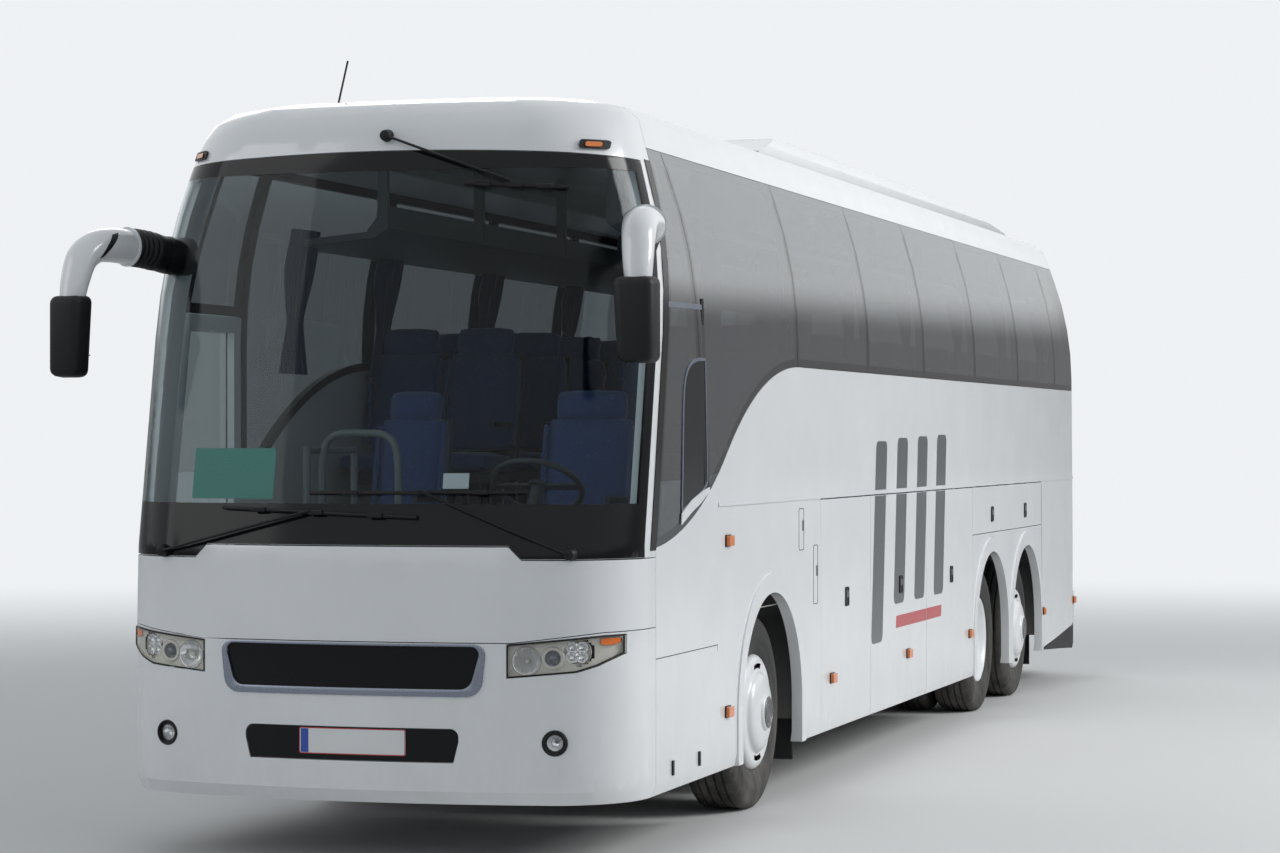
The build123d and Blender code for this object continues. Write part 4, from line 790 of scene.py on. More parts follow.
# Profiles: depth behind the cover and radius
BOWL = ((0.05, 0.004), (0.046, 0.02), (0.03, 0.042), (0.006, 0.056), (-0.003, 0.06), (-0.005, 0.064))
SMALL_BOWL = (
    (0.018, 0.0001), (0.015, 0.012), (0.006, 0.022), (-0.002, 0.0255), (-0.001, 0.028), (0.018, 0.028),
)
FOG_BOWL = ((0.045, 0.002), (0.04, 0.016), (0.02, 0.03), (0.0, 0.037))
FOG_RING = ((0.01, 0.035), (-0.002, 0.036), (-0.006, 0.043), (-0.004, 0.05), (0.012, 0.0515))
FOG_RIM = ((0.002, 0.047), (-0.006, 0.049), (-0.008, 0.054), (-0.003, 0.059), (0.004, 0.06))
FOG_X, FOG_Z, FOG_BACK = 0.957, 0.585, 0.012
# The indicator's outline about its own place
INDICATOR_X, INDICATOR_Z = 1.16, 1.024
INDICATOR = ((-0.02, 0.0), (0.03, 0.0), (0.05, 0.012), (0.05, 0.032), (-0.02, 0.03))


def make_headlamps():
    """Headlamps and fog lamps: clear covers, and what shows behind them."""
    cover = merged("headlamps")
    cover.normal_update()
    bmesh.ops.delete(cover, geom=[face for face in cover.faces if behind_cover(face)], context="FACES")
    piece("lamp_covers", cover, ("lamp_cover",), replaces=("headlamps",))
    tree = skin("headlamps")
    bm = bmesh.new()
    for side in (LEFT, RIGHT):
        put_housing(bm, tree, side)
        for put_lamp, (x, z, radius) in zip((put_bowl, put_projector, put_cluster), LAMP_HOLES):
            put_lamp(bm, lamp_place(tree, side * x, z, LAMP_BACK), radius)
        put_indicator(bm, tree, side)
        put_fog_lamp(bm, tree, side)
    piece("lamp_bowls", bm, LAMP_FINISHES)


def behind_cover(face):
    """Whether a face of the lamp's solid is neither on its clear front nor on its outer end."""
    middle, normal = face.calc_center_median(), face.normal
    outward = abs(normal.x) > 0.5 and normal.x * middle.x > 0 and normal.y < -0.02
    return normal.y > -0.25 and not (outward and abs(middle.x) > 1.0)


def over_lamp(face, side):
    """Whether a face of the housing lies over one of its lamps."""
    at = face.calc_center_median()
    return any((at.x - side * x) ** 2 + (at.z - z) ** 2 < radius**2 for x, z, radius in LAMP_HOLES)


def put_housing(bm, tree, side):
    """The pale housing behind a cover, open where its lamps are, and the black edge round it."""
    outline = [(side * x, z) for x, z in HEADLAMP]
    housing = flat(outline)
    cut_up(housing, ACROSS, -LAMP_REACH, LAMP_REACH, LAMP_STEP)
    cut_up(housing, UP, 0.88, 1.07, LAMP_STEP)
    rims = [e for e in housing.edges if e.is_boundary]
    shift(housing, (0, 0.03, 0))
    made = bmesh.ops.extrude_edge_only(housing, edges=rims)["geom"]
    front = [v for v in made if isinstance(v, bmesh.types.BMVert)]
    bmesh.ops.translate(housing, vec=(0, -0.027, 0), verts=front)
    holes = [face for face in housing.faces if over_lamp(face, side)]
    bmesh.ops.delete(housing, geom=holes, context="FACES")
    put(bm, drape(housing, ALONG, tree), paint=HOUSING)
    edge = cut_up(frame_of(flat(outline, corner=0.008), 0.006), ACROSS, -LAMP_REACH, LAMP_REACH, 0.04)
    put(bm, drape(shift(thicken(edge, (0, -0.002, 0)), (0, 0.0005, 0)), ALONG, tree), paint=RIM)


def put_bowl(bm, place, radius):
    """A bright bowl with the shade of its bulb."""
    put(bm, lathe(BOWL + ((-0.002, radius + 0.011), (0.012, radius + 0.012)), LAMP_TURNS), place, BRIGHT)
    put(bm, drum(0.009, 0.04, 0.02, ACROSS, 0.003, 20), place, HOUSING)


def put_projector(bm, place, radius):
    """A dark lens in a bright ring and a pale collar."""
    lens_r = radius - 0.013
    ring = ((0.03, radius - 0.014), (0.0, lens_r), (-0.006, radius - 0.008), (-0.006, radius + 0.004))
    put(bm, lathe(ring + ((0.0, radius + 0.009), (0.012, radius + 0.01)), LAMP_TURNS), place, HOUSING)
    put(bm, lathe(ring[:3], LAMP_TURNS), place @ Matrix.Translation((-0.001, 0, 0)), BRIGHT)
    dome = bmesh.new()
    bmesh.ops.create_uvsphere(dome, u_segments=28, v_segments=14, radius=lens_r)
    put(bm, dome, place @ Matrix.Translation((0.012, 0, 0)), LENS)


def put_cluster(bm, place, radius):
    """Four small bright bowls in one dish."""
    dish = ((0.02, 0.0001), (0.02, radius), (-0.001, radius + 0.004), (0.012, radius + 0.008))
    put(bm, lathe(dish, LAMP_TURNS), place, HOUSING)
    for turn in range(4):
        small = Matrix.Rotation(tau * (turn + 0.5) / 4, 4, "X") @ Matrix.Translation((0.0, 0, 0.031))
        put(bm, lathe(SMALL_BOWL, 28), place @ small, BRIGHT)


def put_indicator(bm, tree, side):
    """The amber lens at the lamp's outer end, behind the cover."""
    lens = flat([(side * (INDICATOR_X + a), INDICATOR_Z + b) for a, b in INDICATOR], corner=0.012)
    cut_up(lens, ACROSS, -LAMP_REACH, LAMP_REACH, 0.02)
    put(bm, drape(shift(thicken(lens, (0, 0.01, 0)), (0, 0.01, 0)), ALONG, tree), paint=AMBER)


def put_fog_lamp(bm, tree, side):
    """A fog lamp: a bright bowl in two black rings."""
    place = lamp_place(tree, side * FOG_X, FOG_Z, FOG_BACK)
    put(bm, lathe(FOG_BOWL, 40), place, BRIGHT)
    put(bm, lathe(FOG_RING, LAMP_TURNS), place, RIM)
    put(bm, lathe(FOG_RIM, LAMP_TURNS), lamp_place(tree, side * FOG_X, FOG_Z, 0.0), RIM)


def lamp_place(tree, x, z, depth):
    """A place on the front's skin for a turned part, set back and turned most of the way to the skin."""
    reach, share = 0.03, 0.8
    slope = (surface_y(tree, x + reach, z) - surface_y(tree, x - reach, z)) / (2 * reach)
    turn = Matrix.Rotation(pi / 2 + share * atan2(slope, 1), 4, "Z")
    return Matrix.Translation((x, surface_y(tree, x, z), z)) @ turn @ Matrix.Translation((depth, 0, 0))


def surface_y(tree, x, z):
    """Where a ray from ahead meets the coach."""
    return tree.ray_cast(Vector((x, -FAR, z)), Vector(ALONG))[0].y


# The blank plate: its middle, half width and half height
PLATE_X, PLATE_Z, PLATE_HALF, PLATE_TALL = 0.015, 0.578, 0.26, 0.06
# The plate's coloured band
PLATE_BAND = rect(-0.237, -0.199, 0.524, 0.632)
# How far the recess's floor lies behind the bumper's own curve
RECESS_DEPTH = 0.026


def make_front_trim():
    """The black recess with its blank plate."""
    foot, head, chamfer = 0.494, 0.642, 0.06
    corners = (
        (-0.497, foot, 0.004), (0.497, foot, 0.004), (0.52, head - chamfer, 0.02), (0.52, head, 0.04),
        (-0.52, head, 0.04), (-0.52, head - chamfer, 0.02),
    )
    plate, inner = plate_outline(1, 1, 0.008), plate_outline(0.987, 0.93, 0.006)
    bm = bmesh.new()
    put(bm, on_recess(flat(rounded(corners)), 0.0, 0.021), paint=0)
    put(bm, on_recess(flat(plate), 0.021, 0.025), paint=1)
    put(bm, on_recess(ring_between(plate, inner), 0.0252, 0.0258), paint=3)
    put(bm, on_recess(flat(PLATE_BAND), 0.0252, 0.026), paint=2)
    piece("front_plate", bm, ("black_gloss", "plate_white", "plate_blue", "graphic_red"))


def plate_outline(wide, tall, radius):
    """The plate's outline, at a share of its width and height."""
    corners = around(PLATE_X, PLATE_Z, PLATE_HALF * wide, PLATE_TALL * tall)
    return rounded([(x, z, radius) for x, z in corners])


def on_recess(bm, low, high):
    """Lays a flat part over the bumper's recess, between two heights over its floor."""
    step = 0.08
    cut_up(bm, ACROSS, min(v.co.x for v in bm.verts) + step, max(v.co.x for v in bm.verts), step)
    shift(bm, (0, -low, 0))
    return front_bend(thicken(bm, (0, low - high, 0)), RECESS_DEPTH)


# Each wiper in the front view: its pivot, its knuckle on the blade, and the blade's two ends
WIPERS = (
    ((-0.984, 1.435), (-0.2, 1.628), (-0.66, 1.64), (0.32, 1.6)),
    ((1.021, 1.435), (0.33, 1.722), (-0.21, 1.71), (0.82, 1.715)),
    ((0.04, 3.375), (0.66, 3.15), (0.44, 3.14), (0.92, 3.115)),
)
# Lift over the glass, radius, flattening and number of parts of a wiper's arm, its holder and its rubber
WIPER_ARM = (0.035, 0.013, 0.5, 10)
WIPER_HOLDER = (0.016, 0.009, 1.0, 16)
WIPER_RUBBER = (0.006, 0.004, 2.2, 16)
# Where the clips sit along a blade
CLIPS = (0.2, 0.5, 0.8)


def make_wipers():
    """Two long wipers at the foot of the screen and a short one at its head."""
    bm = bmesh.new()
    tree = skin()
    for pivot, knuckle, first, last in WIPERS:
        put(bm, on_screen(tree, pivot, knuckle, *WIPER_ARM))
        put(bm, on_screen(tree, first, last, *WIPER_HOLDER))
        put(bm, on_screen(tree, first, last, *WIPER_RUBBER))
        for share in CLIPS:
            x, z = (a + (b - a) * share for a, b in zip(first, last))
            y = surface_y(tree, x, z)
            put(bm, block((x - 0.035, y - 0.038, z - 0.011), (x + 0.035, y - 0.012, z + 0.011), 0.004, 1))
        x, z = pivot
        y = surface_y(tree, x, z) + 0.006
        put(bm, drum(0.032, 0.0, -0.05, ALONG, 0.005, 24, (x, y, z), 0.024))
    piece("wiper_arms", bm, ("black_moulding",), replaces=("wipers",))


def on_screen(tree, start, end, lift, radius, flatten, count):
    """A bar along the screen between two points of the front view."""
    path = []
    for k in range(count + 1):
        x, z = (a + (b - a) * k / count for a, b in zip(start, end))
        path.append((x, surface_y(tree, x, z) - lift, z))
    return sweep(path, radius, 8, flatten)


MIRROR_FINISHES = ("body_paint", "black_moulding", "mirror_face")
MIRROR_BLACK, MIRROR_GLASS = range(1, len(MIRROR_FINISHES))
# Height of the arms above the root's own, drop of the heads, and inner side of the heads, for each side:
# the driver's arm stands a little higher, and the other head hangs a little lower and is narrower
MIRROR_FIT = {LEFT: (0.03, 0.0, 1.272), RIGHT: (-0.018, -0.045, 1.298)}
MIRROR_ROOT = ((1.15, -5.66, 2.85), (1.21, -5.78, 2.872), (1.262, -5.9, 2.892), (1.3, -6.0, 2.9))
# The arm's line and its radius at each point, and the dark slot on its inner side
MIRROR_ARM = (
    ((1.305, -6.013, 2.9), 0.09), ((1.328, -6.14, 2.9), 0.087), ((1.35, -6.25, 2.886), 0.081),
    ((1.372, -6.34, 2.835), 0.077), ((1.383, -6.385, 2.745), 0.07), ((1.39, -6.405, 2.66), 0.062),
)
MIRROR_SLOT = (
    (-6.17, 2.957), (-6.22, 2.945), (-6.27, 2.892), (-6.315, 2.826), (-6.285, 2.835), (-6.23, 2.898),
)
# Height of the arm's start, and how far below it the arm ends
ARM_Z, ARM_DROP = 2.9, 0.24
# The head's outer side, front and glass, foot and head, and its middle
HEAD_X, HEAD_Y, HEAD_Z, HEAD_MIDDLE = 1.486, (-6.49, -6.35), (2.29, 2.68), (1.386, 2.485)


def make_mirrors():
    """Mirrors: a ribbed black root, a white arm that curves down, and a black head."""
    for side, side_name in SIDES:
        rise, low, inner = MIRROR_FIT[side]
        bm = bmesh.new()
        put_mirror_arm(bm, rise, low)
        put_mirror_head(bm, low, inner)
        if side == RIGHT:
            bmesh.ops.transform(bm, matrix=Matrix.Diagonal((-1, 1, 1, 1)), verts=bm.verts)
            bmesh.ops.reverse_faces(bm, faces=bm.faces)
        name = "mirror_" + side_name
        piece(name, bm, MIRROR_FINISHES, replaces=("mirrors",), angle=45)


def root_radius(k):
    """The root's radius at each of its rings: a slight waist, then ribs."""
    groove = 0.008 if k > 16 and k % 3 == 0 else 0
    return 0.093 - groove - 0.004 * max(0, 1 - abs(k - 13) / 4)


def put_mirror_arm(bm, rise, low):
    """The ribbed root, the white collar and the arm with its dark slot."""
    foot, *rest = MIRROR_ROOT
    root = smooth_path([foot] + [(x, y, z + rise) for x, y, z in rest], 10)
    put(bm, sweep(root, [root_radius(k) for k in range(len(root))], 28), paint=MIRROR_BLACK)
    collar = ((1.301, -6.003, ARM_Z + rise), (1.304, -6.011, ARM_Z + rise))
    put(bm, sweep(collar, 0.096, 32))
    path, radii = zip(*MIRROR_ARM)
    path = [(x, y, z + rise + (low - rise) * (ARM_Z - z) / ARM_DROP) for x, y, z in path]
    wide = [point.x for point in smooth_path([(r, 0, 0) for r in radii], 7)]
    arm = sweep(smooth_path(path, 7), wide, 32, 0.94)
    slot = cut_up(flat(MIRROR_SLOT, "YZ"), UP, 2.83, 2.95, 0.012)
    thicken(cut_up(slot, ALONG, -6.31, -6.17, 0.012), (-0.0015, 0, 0))
    drape(shift(slot, (0, 0, rise)), ACROSS, BVHTree.FromBMesh(arm))
    put(bm, arm)
    put(bm, slot, paint=MIRROR_BLACK)


def put_mirror_head(bm, low, inner):
    """The head, narrower at its front and inner foot, with its glass and the bar across it."""
    middle_x, middle_z = HEAD_MIDDLE
    front, back = HEAD_Y
    head = block((inner, front, HEAD_Z[0]), (HEAD_X, back, HEAD_Z[1]))
    for vert in head.verts:
        if vert.co.y < front + 0.04:
            vert.co.x += 0.02 if vert.co.x < middle_x else -0.012
            vert.co.z = middle_z + (vert.co.z - middle_z) * 0.96
        if vert.co.z < 2.4 and vert.co.x < middle_x:
            vert.co.x += 0.022
    bevel(head, head.edges, 0.036, 4)
    put(bm, shift(head, (0, 0, low)), paint=MIRROR_BLACK)
    glass = flat(((inner + 0.044, 2.32), (1.468, 2.32), (1.468, 2.65), (inner + 0.02, 2.65)), corner=0.028)
    put(bm, shift(thicken(glass, (0, 0.004, 0)), (0, back - 0.0015, low)), paint=MIRROR_GLASS)
    bar = block((inner + 0.028, back - 0.0005, 2.395 + low), (1.472, back + 0.0045, 2.4 + low))
    put(bm, bar, paint=MIRROR_BLACK)


RIM_FINISHES = ("wheel_paint", "hub_grey", "chassis_black")
CAP_GREY, RIM_DARK = range(1, len(RIM_FINISHES))
# Profiles of the wheels: X from the middle outwards and radius. The tyre's runs from its bead to its crown
TYRE_PROFILE = (
    (-0.104, 0.284), (-0.106, 0.3), (-0.118, 0.304), (-0.124, 0.312), (-0.133, 0.33), (-0.1385, 0.352),
    (-0.142, 0.38), (-0.1435, 0.383), (-0.145, 0.4), (-0.1448, 0.42), (-0.1432, 0.424), (-0.141, 0.445),
    (-0.136, 0.47), (-0.13, 0.488), (-0.122, 0.499), (-0.112, 0.507), (-0.1, 0.511), (-0.082, 0.512),
)
# The grooves round a tyre, from X to X; then its radius and steps, and the notch at every third step
GROOVES = ((-0.077, -0.063), (-0.031, -0.019), (0.019, 0.031), (0.063, 0.077))
TYRE_R, TYRE_STEPS = 0.512, 120
NOTCH_FROM_R, NOTCH_FROM_X, NOTCH_DEPTH = 0.4955, 0.095, 0.008
SINGLE_RIM = (
    (-0.112, 0.262), (-0.112, 0.298), (-0.104, 0.3), (-0.104, 0.281), (0.1, 0.281), (0.106, 0.3),
    (0.118, 0.304), (0.13, 0.301), (0.141, 0.291), (0.147, 0.28), (0.15, 0.268),
)
COVER = (
    (0.15, 0.268), (0.1495, 0.257), (0.1477, 0.244), (0.1463, 0.231), (0.1465, 0.223), (0.15, 0.216),
    (0.156, 0.2105), (0.165, 0.205), (0.173, 0.195), (0.179, 0.184), (0.184, 0.17), (0.188, 0.148),
    (0.191, 0.125), (0.1923, 0.108), (0.1935, 0.1), (0.199, 0.0955), (0.206, 0.091), (0.21, 0.084),
    (0.2115, 0.074), (0.2115, 0.056), (0.209, 0.052), (0.209, 0.03), (0.211, 0.026), (0.211, 0.0001),
)
TWIN_RIM = (
    (-0.277, 0.262), (-0.277, 0.3), (-0.269, 0.3), (-0.269, 0.281), (-0.061, 0.281), (-0.061, 0.298),
    (-0.053, 0.298), (-0.053, 0.281), (0.053, 0.281), (0.053, 0.298), (0.061, 0.298), (0.061, 0.281),
    (0.269, 0.281),
)
TWIN_FACE = (
    (0.269, 0.281), (0.272, 0.3), (0.28, 0.304), (0.287, 0.3), (0.288, 0.289), (0.282, 0.281),
    (0.262, 0.27), (0.236, 0.257), (0.212, 0.244), (0.189, 0.231), (0.178, 0.222), (0.172, 0.212),
    (0.174, 0.202), (0.184, 0.19), (0.198, 0.172), (0.21, 0.15), (0.22, 0.125), (0.225, 0.11),
    (0.229, 0.102), (0.24, 0.097), (0.247, 0.09), (0.25, 0.08), (0.25, 0.056), (0.247, 0.052),
    (0.247, 0.03), (0.249, 0.026), (0.249, 0.0001),
)
# X of the grey cap's face and of the dark disc behind the rim, on single and then on twin wheels
CAP_X, DISC_X = (0.2115, 0.25), (0.03, 0.11)
CAP_R, CAP_DEPTH, DISC_R = 0.084, 0.02, 0.278
# The raised rings on the cap, and the dark one, from the cap's face
CAP_RINGS = (
    ((0.0, 0.081), (0.003, 0.077), (0.003, 0.068), (0.0, 0.064)),
    ((-0.0022, 0.05), (0.0008, 0.048), (0.0008, 0.034), (-0.0022, 0.032)),
)
CAP_LINE = ((-0.0022, 0.0645), (-0.0015, 0.063), (-0.0015, 0.053), (-0.0022, 0.0515))
# The two slots lie between these radii, outwards of this X, and reach this far round to each side
SLOT_BAND, SLOT_FROM_X, SLOT_REACH = (0.231, 0.257), 0.12, 0.27


def tyre(centre_x, side, depth):
    """A coach tyre: rounded walls, four grooves round it and notched shoulders."""
    crown = []
    for first, last in GROOVES:
        floor = TYRE_R - depth
        crown += [(first, TYRE_R), (first + 0.002, floor), (last - 0.002, floor), (last, TYRE_R)]
    points = [*TYRE_PROFILE, *crown, *((-x, r) for x, r in reversed(TYRE_PROFILE))]
    bm = lathe([(side * (x + centre_x), r) for x, r in points], TYRE_STEPS)
    for vert in bm.verts:
        x, r = side * vert.co.x - centre_x, (vert.co.y**2 + vert.co.z**2) ** 0.5
        spoke = round(atan2(vert.co.z, vert.co.y) / (tau / TYRE_STEPS))
        if r > NOTCH_FROM_R and abs(x) > NOTCH_FROM_X and spoke % 3 == 0:
            shrink = (r - NOTCH_DEPTH) / r
            vert.co.y *= shrink
            vert.co.z *= shrink
    return bm


def rim(side, middle, twin, steps):
    """A wheel's rim and cover about the hub's axis, with its slots, its grey cap and the disc behind."""

    def turned(profile, start=0.0):
        return lathe([(side * (middle + start + x), r) for x, r in profile], steps)

    bm = bmesh.new()
    cap = CAP_X[twin]
    for profile in (TWIN_RIM, TWIN_FACE) if twin else (SINGLE_RIM, COVER):
        put(bm, turned(profile))
    for face in bm.faces:
        at = face.calc_center_median()
        if side * at.x - middle - cap > -CAP_DEPTH and (at.y**2 + at.z**2) ** 0.5 < CAP_R:
            face.material_index = CAP_GREY
    for ring in CAP_RINGS:
        put(bm, turned(ring, cap), paint=CAP_GREY)
    put(bm, turned(CAP_LINE, cap), paint=RIM_DARK)
    bmesh.ops.delete(bm, geom=[face for face in bm.faces if in_slot(face, side, middle)], context="FACES")
    put(bm, turned(((0.0, DISC_R), (0.0, 0.0001)), DISC_X[twin]), paint=RIM_DARK)
    return bm


def in_slot(face, side, middle):
    """Whether a face lies in the slot at the top or the foot of a wheel's cover."""
    at = face.calc_center_median()
    off_upright = abs(atan2(at.y, abs(at.z)))
    in_band = SLOT_BAND[0] < (at.y**2 + at.z**2) ** 0.5 < SLOT_BAND[1]
    return in_band and side * at.x - middle > SLOT_FROM_X and off_upright < SLOT_REACH


def make_wheels(depth, steps):
    """Tyres, and rims with their domed covers and grey caps."""
    for axle, y in AXLES:
        twin = axle == "drive"
        middle = TWIN_X if twin else SINGLE_X
        place = (0, y, HUB_Z)
        for side, side_name in SIDES:
            where = f"{axle}_{side_name}"
            body = "wheel_" + where
            rubber = bmesh.new()
            for offset in (-TWIN_HALF, TWIN_HALF) if twin else (0,):
                put(rubber, shift(tyre(middle + offset, side, depth), place))
            piece("tread_" + where, rubber, ("tyre_rubber",), ("tyre_" + where,), body, 40)
            metal = shift(rim(side, middle, twin, steps), place)
            piece("rim_" + where, metal, RIM_FINISHES, (body,), body, 30)


TRIM = ("body_paint", "graphic_dark", "black_moulding", "lamp_orange", "hub_grey", "graphic_red")
DARK, BLACK, ORANGE, GREY, RED = range(1, len(TRIM))
# From how far outside the wall rays fall on it, so that they meet the near side
WALL_REACH = 2.5
# body, markers, catches, on each side
DOOR_TRIM = (
    ("luggage_door_{}_a", ((-2.32, 0.595),), ((-1.95, 1.041),)),
    ("luggage_door_{}_b", ((-0.29, 0.601),), ((-0.5, 1.046),)),
    ("luggage_door_{}_c", ((1.72, 0.605),), ((1.08, 1.043),)),
    ("service_flap_{}", (), ((2.55, 1.413), (3.88, 1.412))),
)
BODY_MARKERS = ((-4.52, 1.445), (-4.53, 0.589), (4.66, 0.606), (6.16, 0.62))
TOP_MARKER_X, TOP_MARKER_Z = 1.0, 3.325
# The filler flaps: middle, width and height; Y of the small catches at the bumper's foot
FILLER_FLAPS = ((-3.02, 1.46, 0.11, 0.23), (-2.7, 1.2, 0.1, 0.33))
BUMPER_CATCHES = (-5.5, -5.05)
# The upright joint near the rear: its Y, foot and head
REAR_JOINT_Y, REAR_JOINT_FOOT, REAR_JOINT_HEAD = 4.6, 0.32, 1.6
# The bumper's side: its front and rear Y, its foot and its head; and how thick a drawn joint is
BUMPER_FRONT_Y, BUMPER_REAR_Y, BUMPER_FOOT_Z, BUMPER_TOP_Z = -5.765, -4.71, 0.31, 0.935
JOINT_THICK = 0.0006


def side_patch(side, points, corner, lift, width=None, levels=()):
    """A thin panel or frame on the side, from an outline in Y and Z; levels are heights to bend it at."""
    bm = flat(points, "YZ", corner)
    if width:
        frame_of(bm, width)
    for level in levels:
        cut(bm, GROUND_UP * level, GROUND_UP)
    shift(bm, (side * lift[0], 0, 0))
    thicken(bm, (side * (lift[1] - lift[0]), 0, 0))
    return drape(bm, (-side, 0, 0), reach=WALL_REACH)


def marker(side, y, z):
    """An orange marker lamp on a black foot."""
    foot_high, lens_high = 0.006, 0.024
    bm = bmesh.new()
    put(bm, side_patch(side, around(y, z, 0.05, 0.03), 0.008, (0, foot_high)), paint=BLACK)
    put(bm, side_patch(side, around(y, z, 0.045, 0.026), 0.01, (foot_high, lens_high)), paint=ORANGE)
    return bm


def latch(side, y, z):
    """A recessed door catch: a black tray and a grey key plate."""
    bm = bmesh.new()
    tray = around(y, z, 0.042, 0.055)
    put(bm, side_patch(side, tray, 0.01, (0, 0.003)), paint=BLACK)
    put(bm, side_patch(side, tray, 0.01, (0.002, 0.006), 0.008), paint=BLACK)
    put(bm, side_patch(side, around(y, z + 0.014, 0.024, 0.02), 0.006, (0.003, 0.007)), paint=GREY)
    return bm


def front_patch(points, corner, lift):
    """A thin panel that follows the bowed front; lift is the range of its height over the skin."""
    bm = flat(points, corner=corner)
    step = 0.06
    cut_up(bm, ACROSS, min(x for x, _ in points) + step, max(x for x, _ in points), step)
    shift(bm, (0, -lift[0], 0))
    thicken(bm, (0, -(lift[1] - lift[0]), 0))
    return drape(bm, ALONG)


def top_marker(side):
    """A clearance lamp at the head of the front: a dark housing with an amber lens."""
    bm = bmesh.new()
    x, z = side * TOP_MARKER_X, TOP_MARKER_Z
    put(bm, front_patch(around(x, z, 0.056, 0.022), 0.012, (0.0, 0.012)), paint=BLACK)
    put(bm, front_patch(around(x, z, 0.03, 0.012), 0.008, (0.012, 0.018)), paint=ORANGE)
    return bm


def make_side_trim(joint):
    """Markers, catches, filler flaps and drawn panel joints."""
    for side, side_name in SIDES:
        for body, lamps, catches in DOOR_TRIM:
            bm = bmesh.new()
            for y, z in lamps:
                put_kept(bm, marker(side, y, z))
            for y, z in catches:
                put_kept(bm, latch(side, y, z))
            name = body.format(side_name)
            piece("trim_" + name, bm, TRIM, body=name)
        piece("trim_side_" + side_name, body_trim(side, joint / 2), TRIM)
    lamps = bmesh.new()
    for side in (LEFT, RIGHT):
        put_kept(lamps, top_marker(side))
        for y, z in BODY_MARKERS:
            put_kept(lamps, marker(side, y, z))
    piece("marker_lamps", lamps, TRIM, replaces=("signal_lamps",))


def body_trim(side, half):
    """The filler flaps and panel joints of a side, with joints of that half width."""
    bm = bmesh.new()
    for y, z, wide, tall in FILLER_FLAPS:
        flap = side_patch(side, around(y, z, wide / 2, tall / 2), 0.015, (0, 0.0012), 0.004)
        put(bm, flap, paint=BLACK)
        catch = around(y + wide * 0.3, z + 0.02, 0.011, 0.03)
        put(bm, side_patch(side, catch, 0.008, (0, 0.005)), paint=GREY)
    joints = [upright(REAR_JOINT_Y, half, REAR_JOINT_FOOT, REAR_JOINT_HEAD)]
    if side == LEFT:
        joints += [
            rect(BUMPER_FRONT_Y, BUMPER_REAR_Y, BUMPER_TOP_Z - half, BUMPER_TOP_Z + half),
            upright(BUMPER_REAR_Y, half, BUMPER_FOOT_Z, BUMPER_TOP_Z),
        ]
        for y in BUMPER_CATCHES:
            put(bm, side_patch(side, rect(y - 0.012, y + 0.012, 0.37, 0.44), 0.004, (0, 0.008)), paint=BLACK)
    for outline in joints:
        put(bm, side_patch(side, outline, 0, (0, JOINT_THICK)), paint=BLACK)
    return bm


# The slanted bars on the side: start of the foot, width, foot, head; how far they lean for their height
BARS = ((-1.32, 0.3, 0.72, 1.94), (-0.7, 0.3, 0.93, 1.96), (-0.1, 0.3, 0.93, 1.97), (0.5, 0.3, 0.93, 1.98))
BAR_LEAN, BAR_CORNER = 0.12, 0.05
RED_STRIPE = ((-0.64, 0.78), (0.74, 0.78), (0.752, 0.855), (-0.628, 0.855))
# What carries the graphic: body, and its reach in Y and in Z
REGIONS = (
    ("body", -9, 9, 1.645, 9),
    ("luggage_door_{}_a", -2.574, -1.336, 0, 1.61),
    ("luggage_door_{}_b", -1.324, 0.274, 0, 1.61),
    ("luggage_door_{}_c", 0.286, 1.814, 0, 1.61),
)
# How thick the graphic is
FILM = 0.0008


def bar_outline(start, width, foot, head):
    """A slanted bar's outline in Y and Z."""
    lean = BAR_LEAN * (head - foot)
    return ((start, foot), (start + width, foot), (start + width + lean, head), (start + lean, head))


def make_side_graphic():
    """Plain slanted bars and a red stripe, split where the doors part."""
    shapes = [(DARK, BAR_CORNER, bar_outline(*bar)) for bar in BARS] + [(RED, 0.008, RED_STRIPE)]
    for side, side_name in SIDES:
        for body, y0, y1, z0, z1 in REGIONS:
            bm = bmesh.new()
            for paint, corner, outline in shapes:
                part = flat(outline, "YZ", corner)
                for normal, at in (((0, -1, 0), y0), (ALONG, y1), ((0, 0, -1), z0), (UP, z1)):
                    cut(part, (0, at, at), normal, clear=True)
                if part.faces:
                    thicken(part, (side * FILM, 0, 0))
                    put(bm, drape(part, (-side, 0, 0), reach=WALL_REACH), paint=paint)
                else:
                    part.free()
            name = body.format(side_name)
            label = "side_" + side_name if name == "body" else name
            if bm.faces:
                piece("graphic_" + label, bm, TRIM, body=name)
            else:
                bm.free()


# How far out the wall's inner side is, at heights
INNER_WALL = (
    (1.0, 1.225), (2.45, 1.225), (2.65, 1.217), (2.85, 1.193), (3.05, 1.152), (3.25, 1.093), (3.4, 1.045),
)
# Y of each curtain's middle; foot, gathered width, gap to the wall, and the tie's share of the height
CURTAINS = (-4.35, -3.1, -1.39, 0.21, 1.92, 3.59, 5.23)
CURTAIN_FOOT, CURTAIN_WIDTH, CURTAIN_GAP, TIE_AT = 2.3, 0.34, 0.075, 0.36
CURTAIN_FOLDS, CURTAIN_THICK = 11, 0.003


def inner_x(z):
    """How far out the wall's inner side is at a height."""
    for (z0, x0), (z1, x1) in zip(INNER_WALL, INNER_WALL[1:]):
        if z <= z1:
            return x0 + (x1 - x0) * max(0, z - z0) / (z1 - z0)
    return INNER_WALL[-1][1]


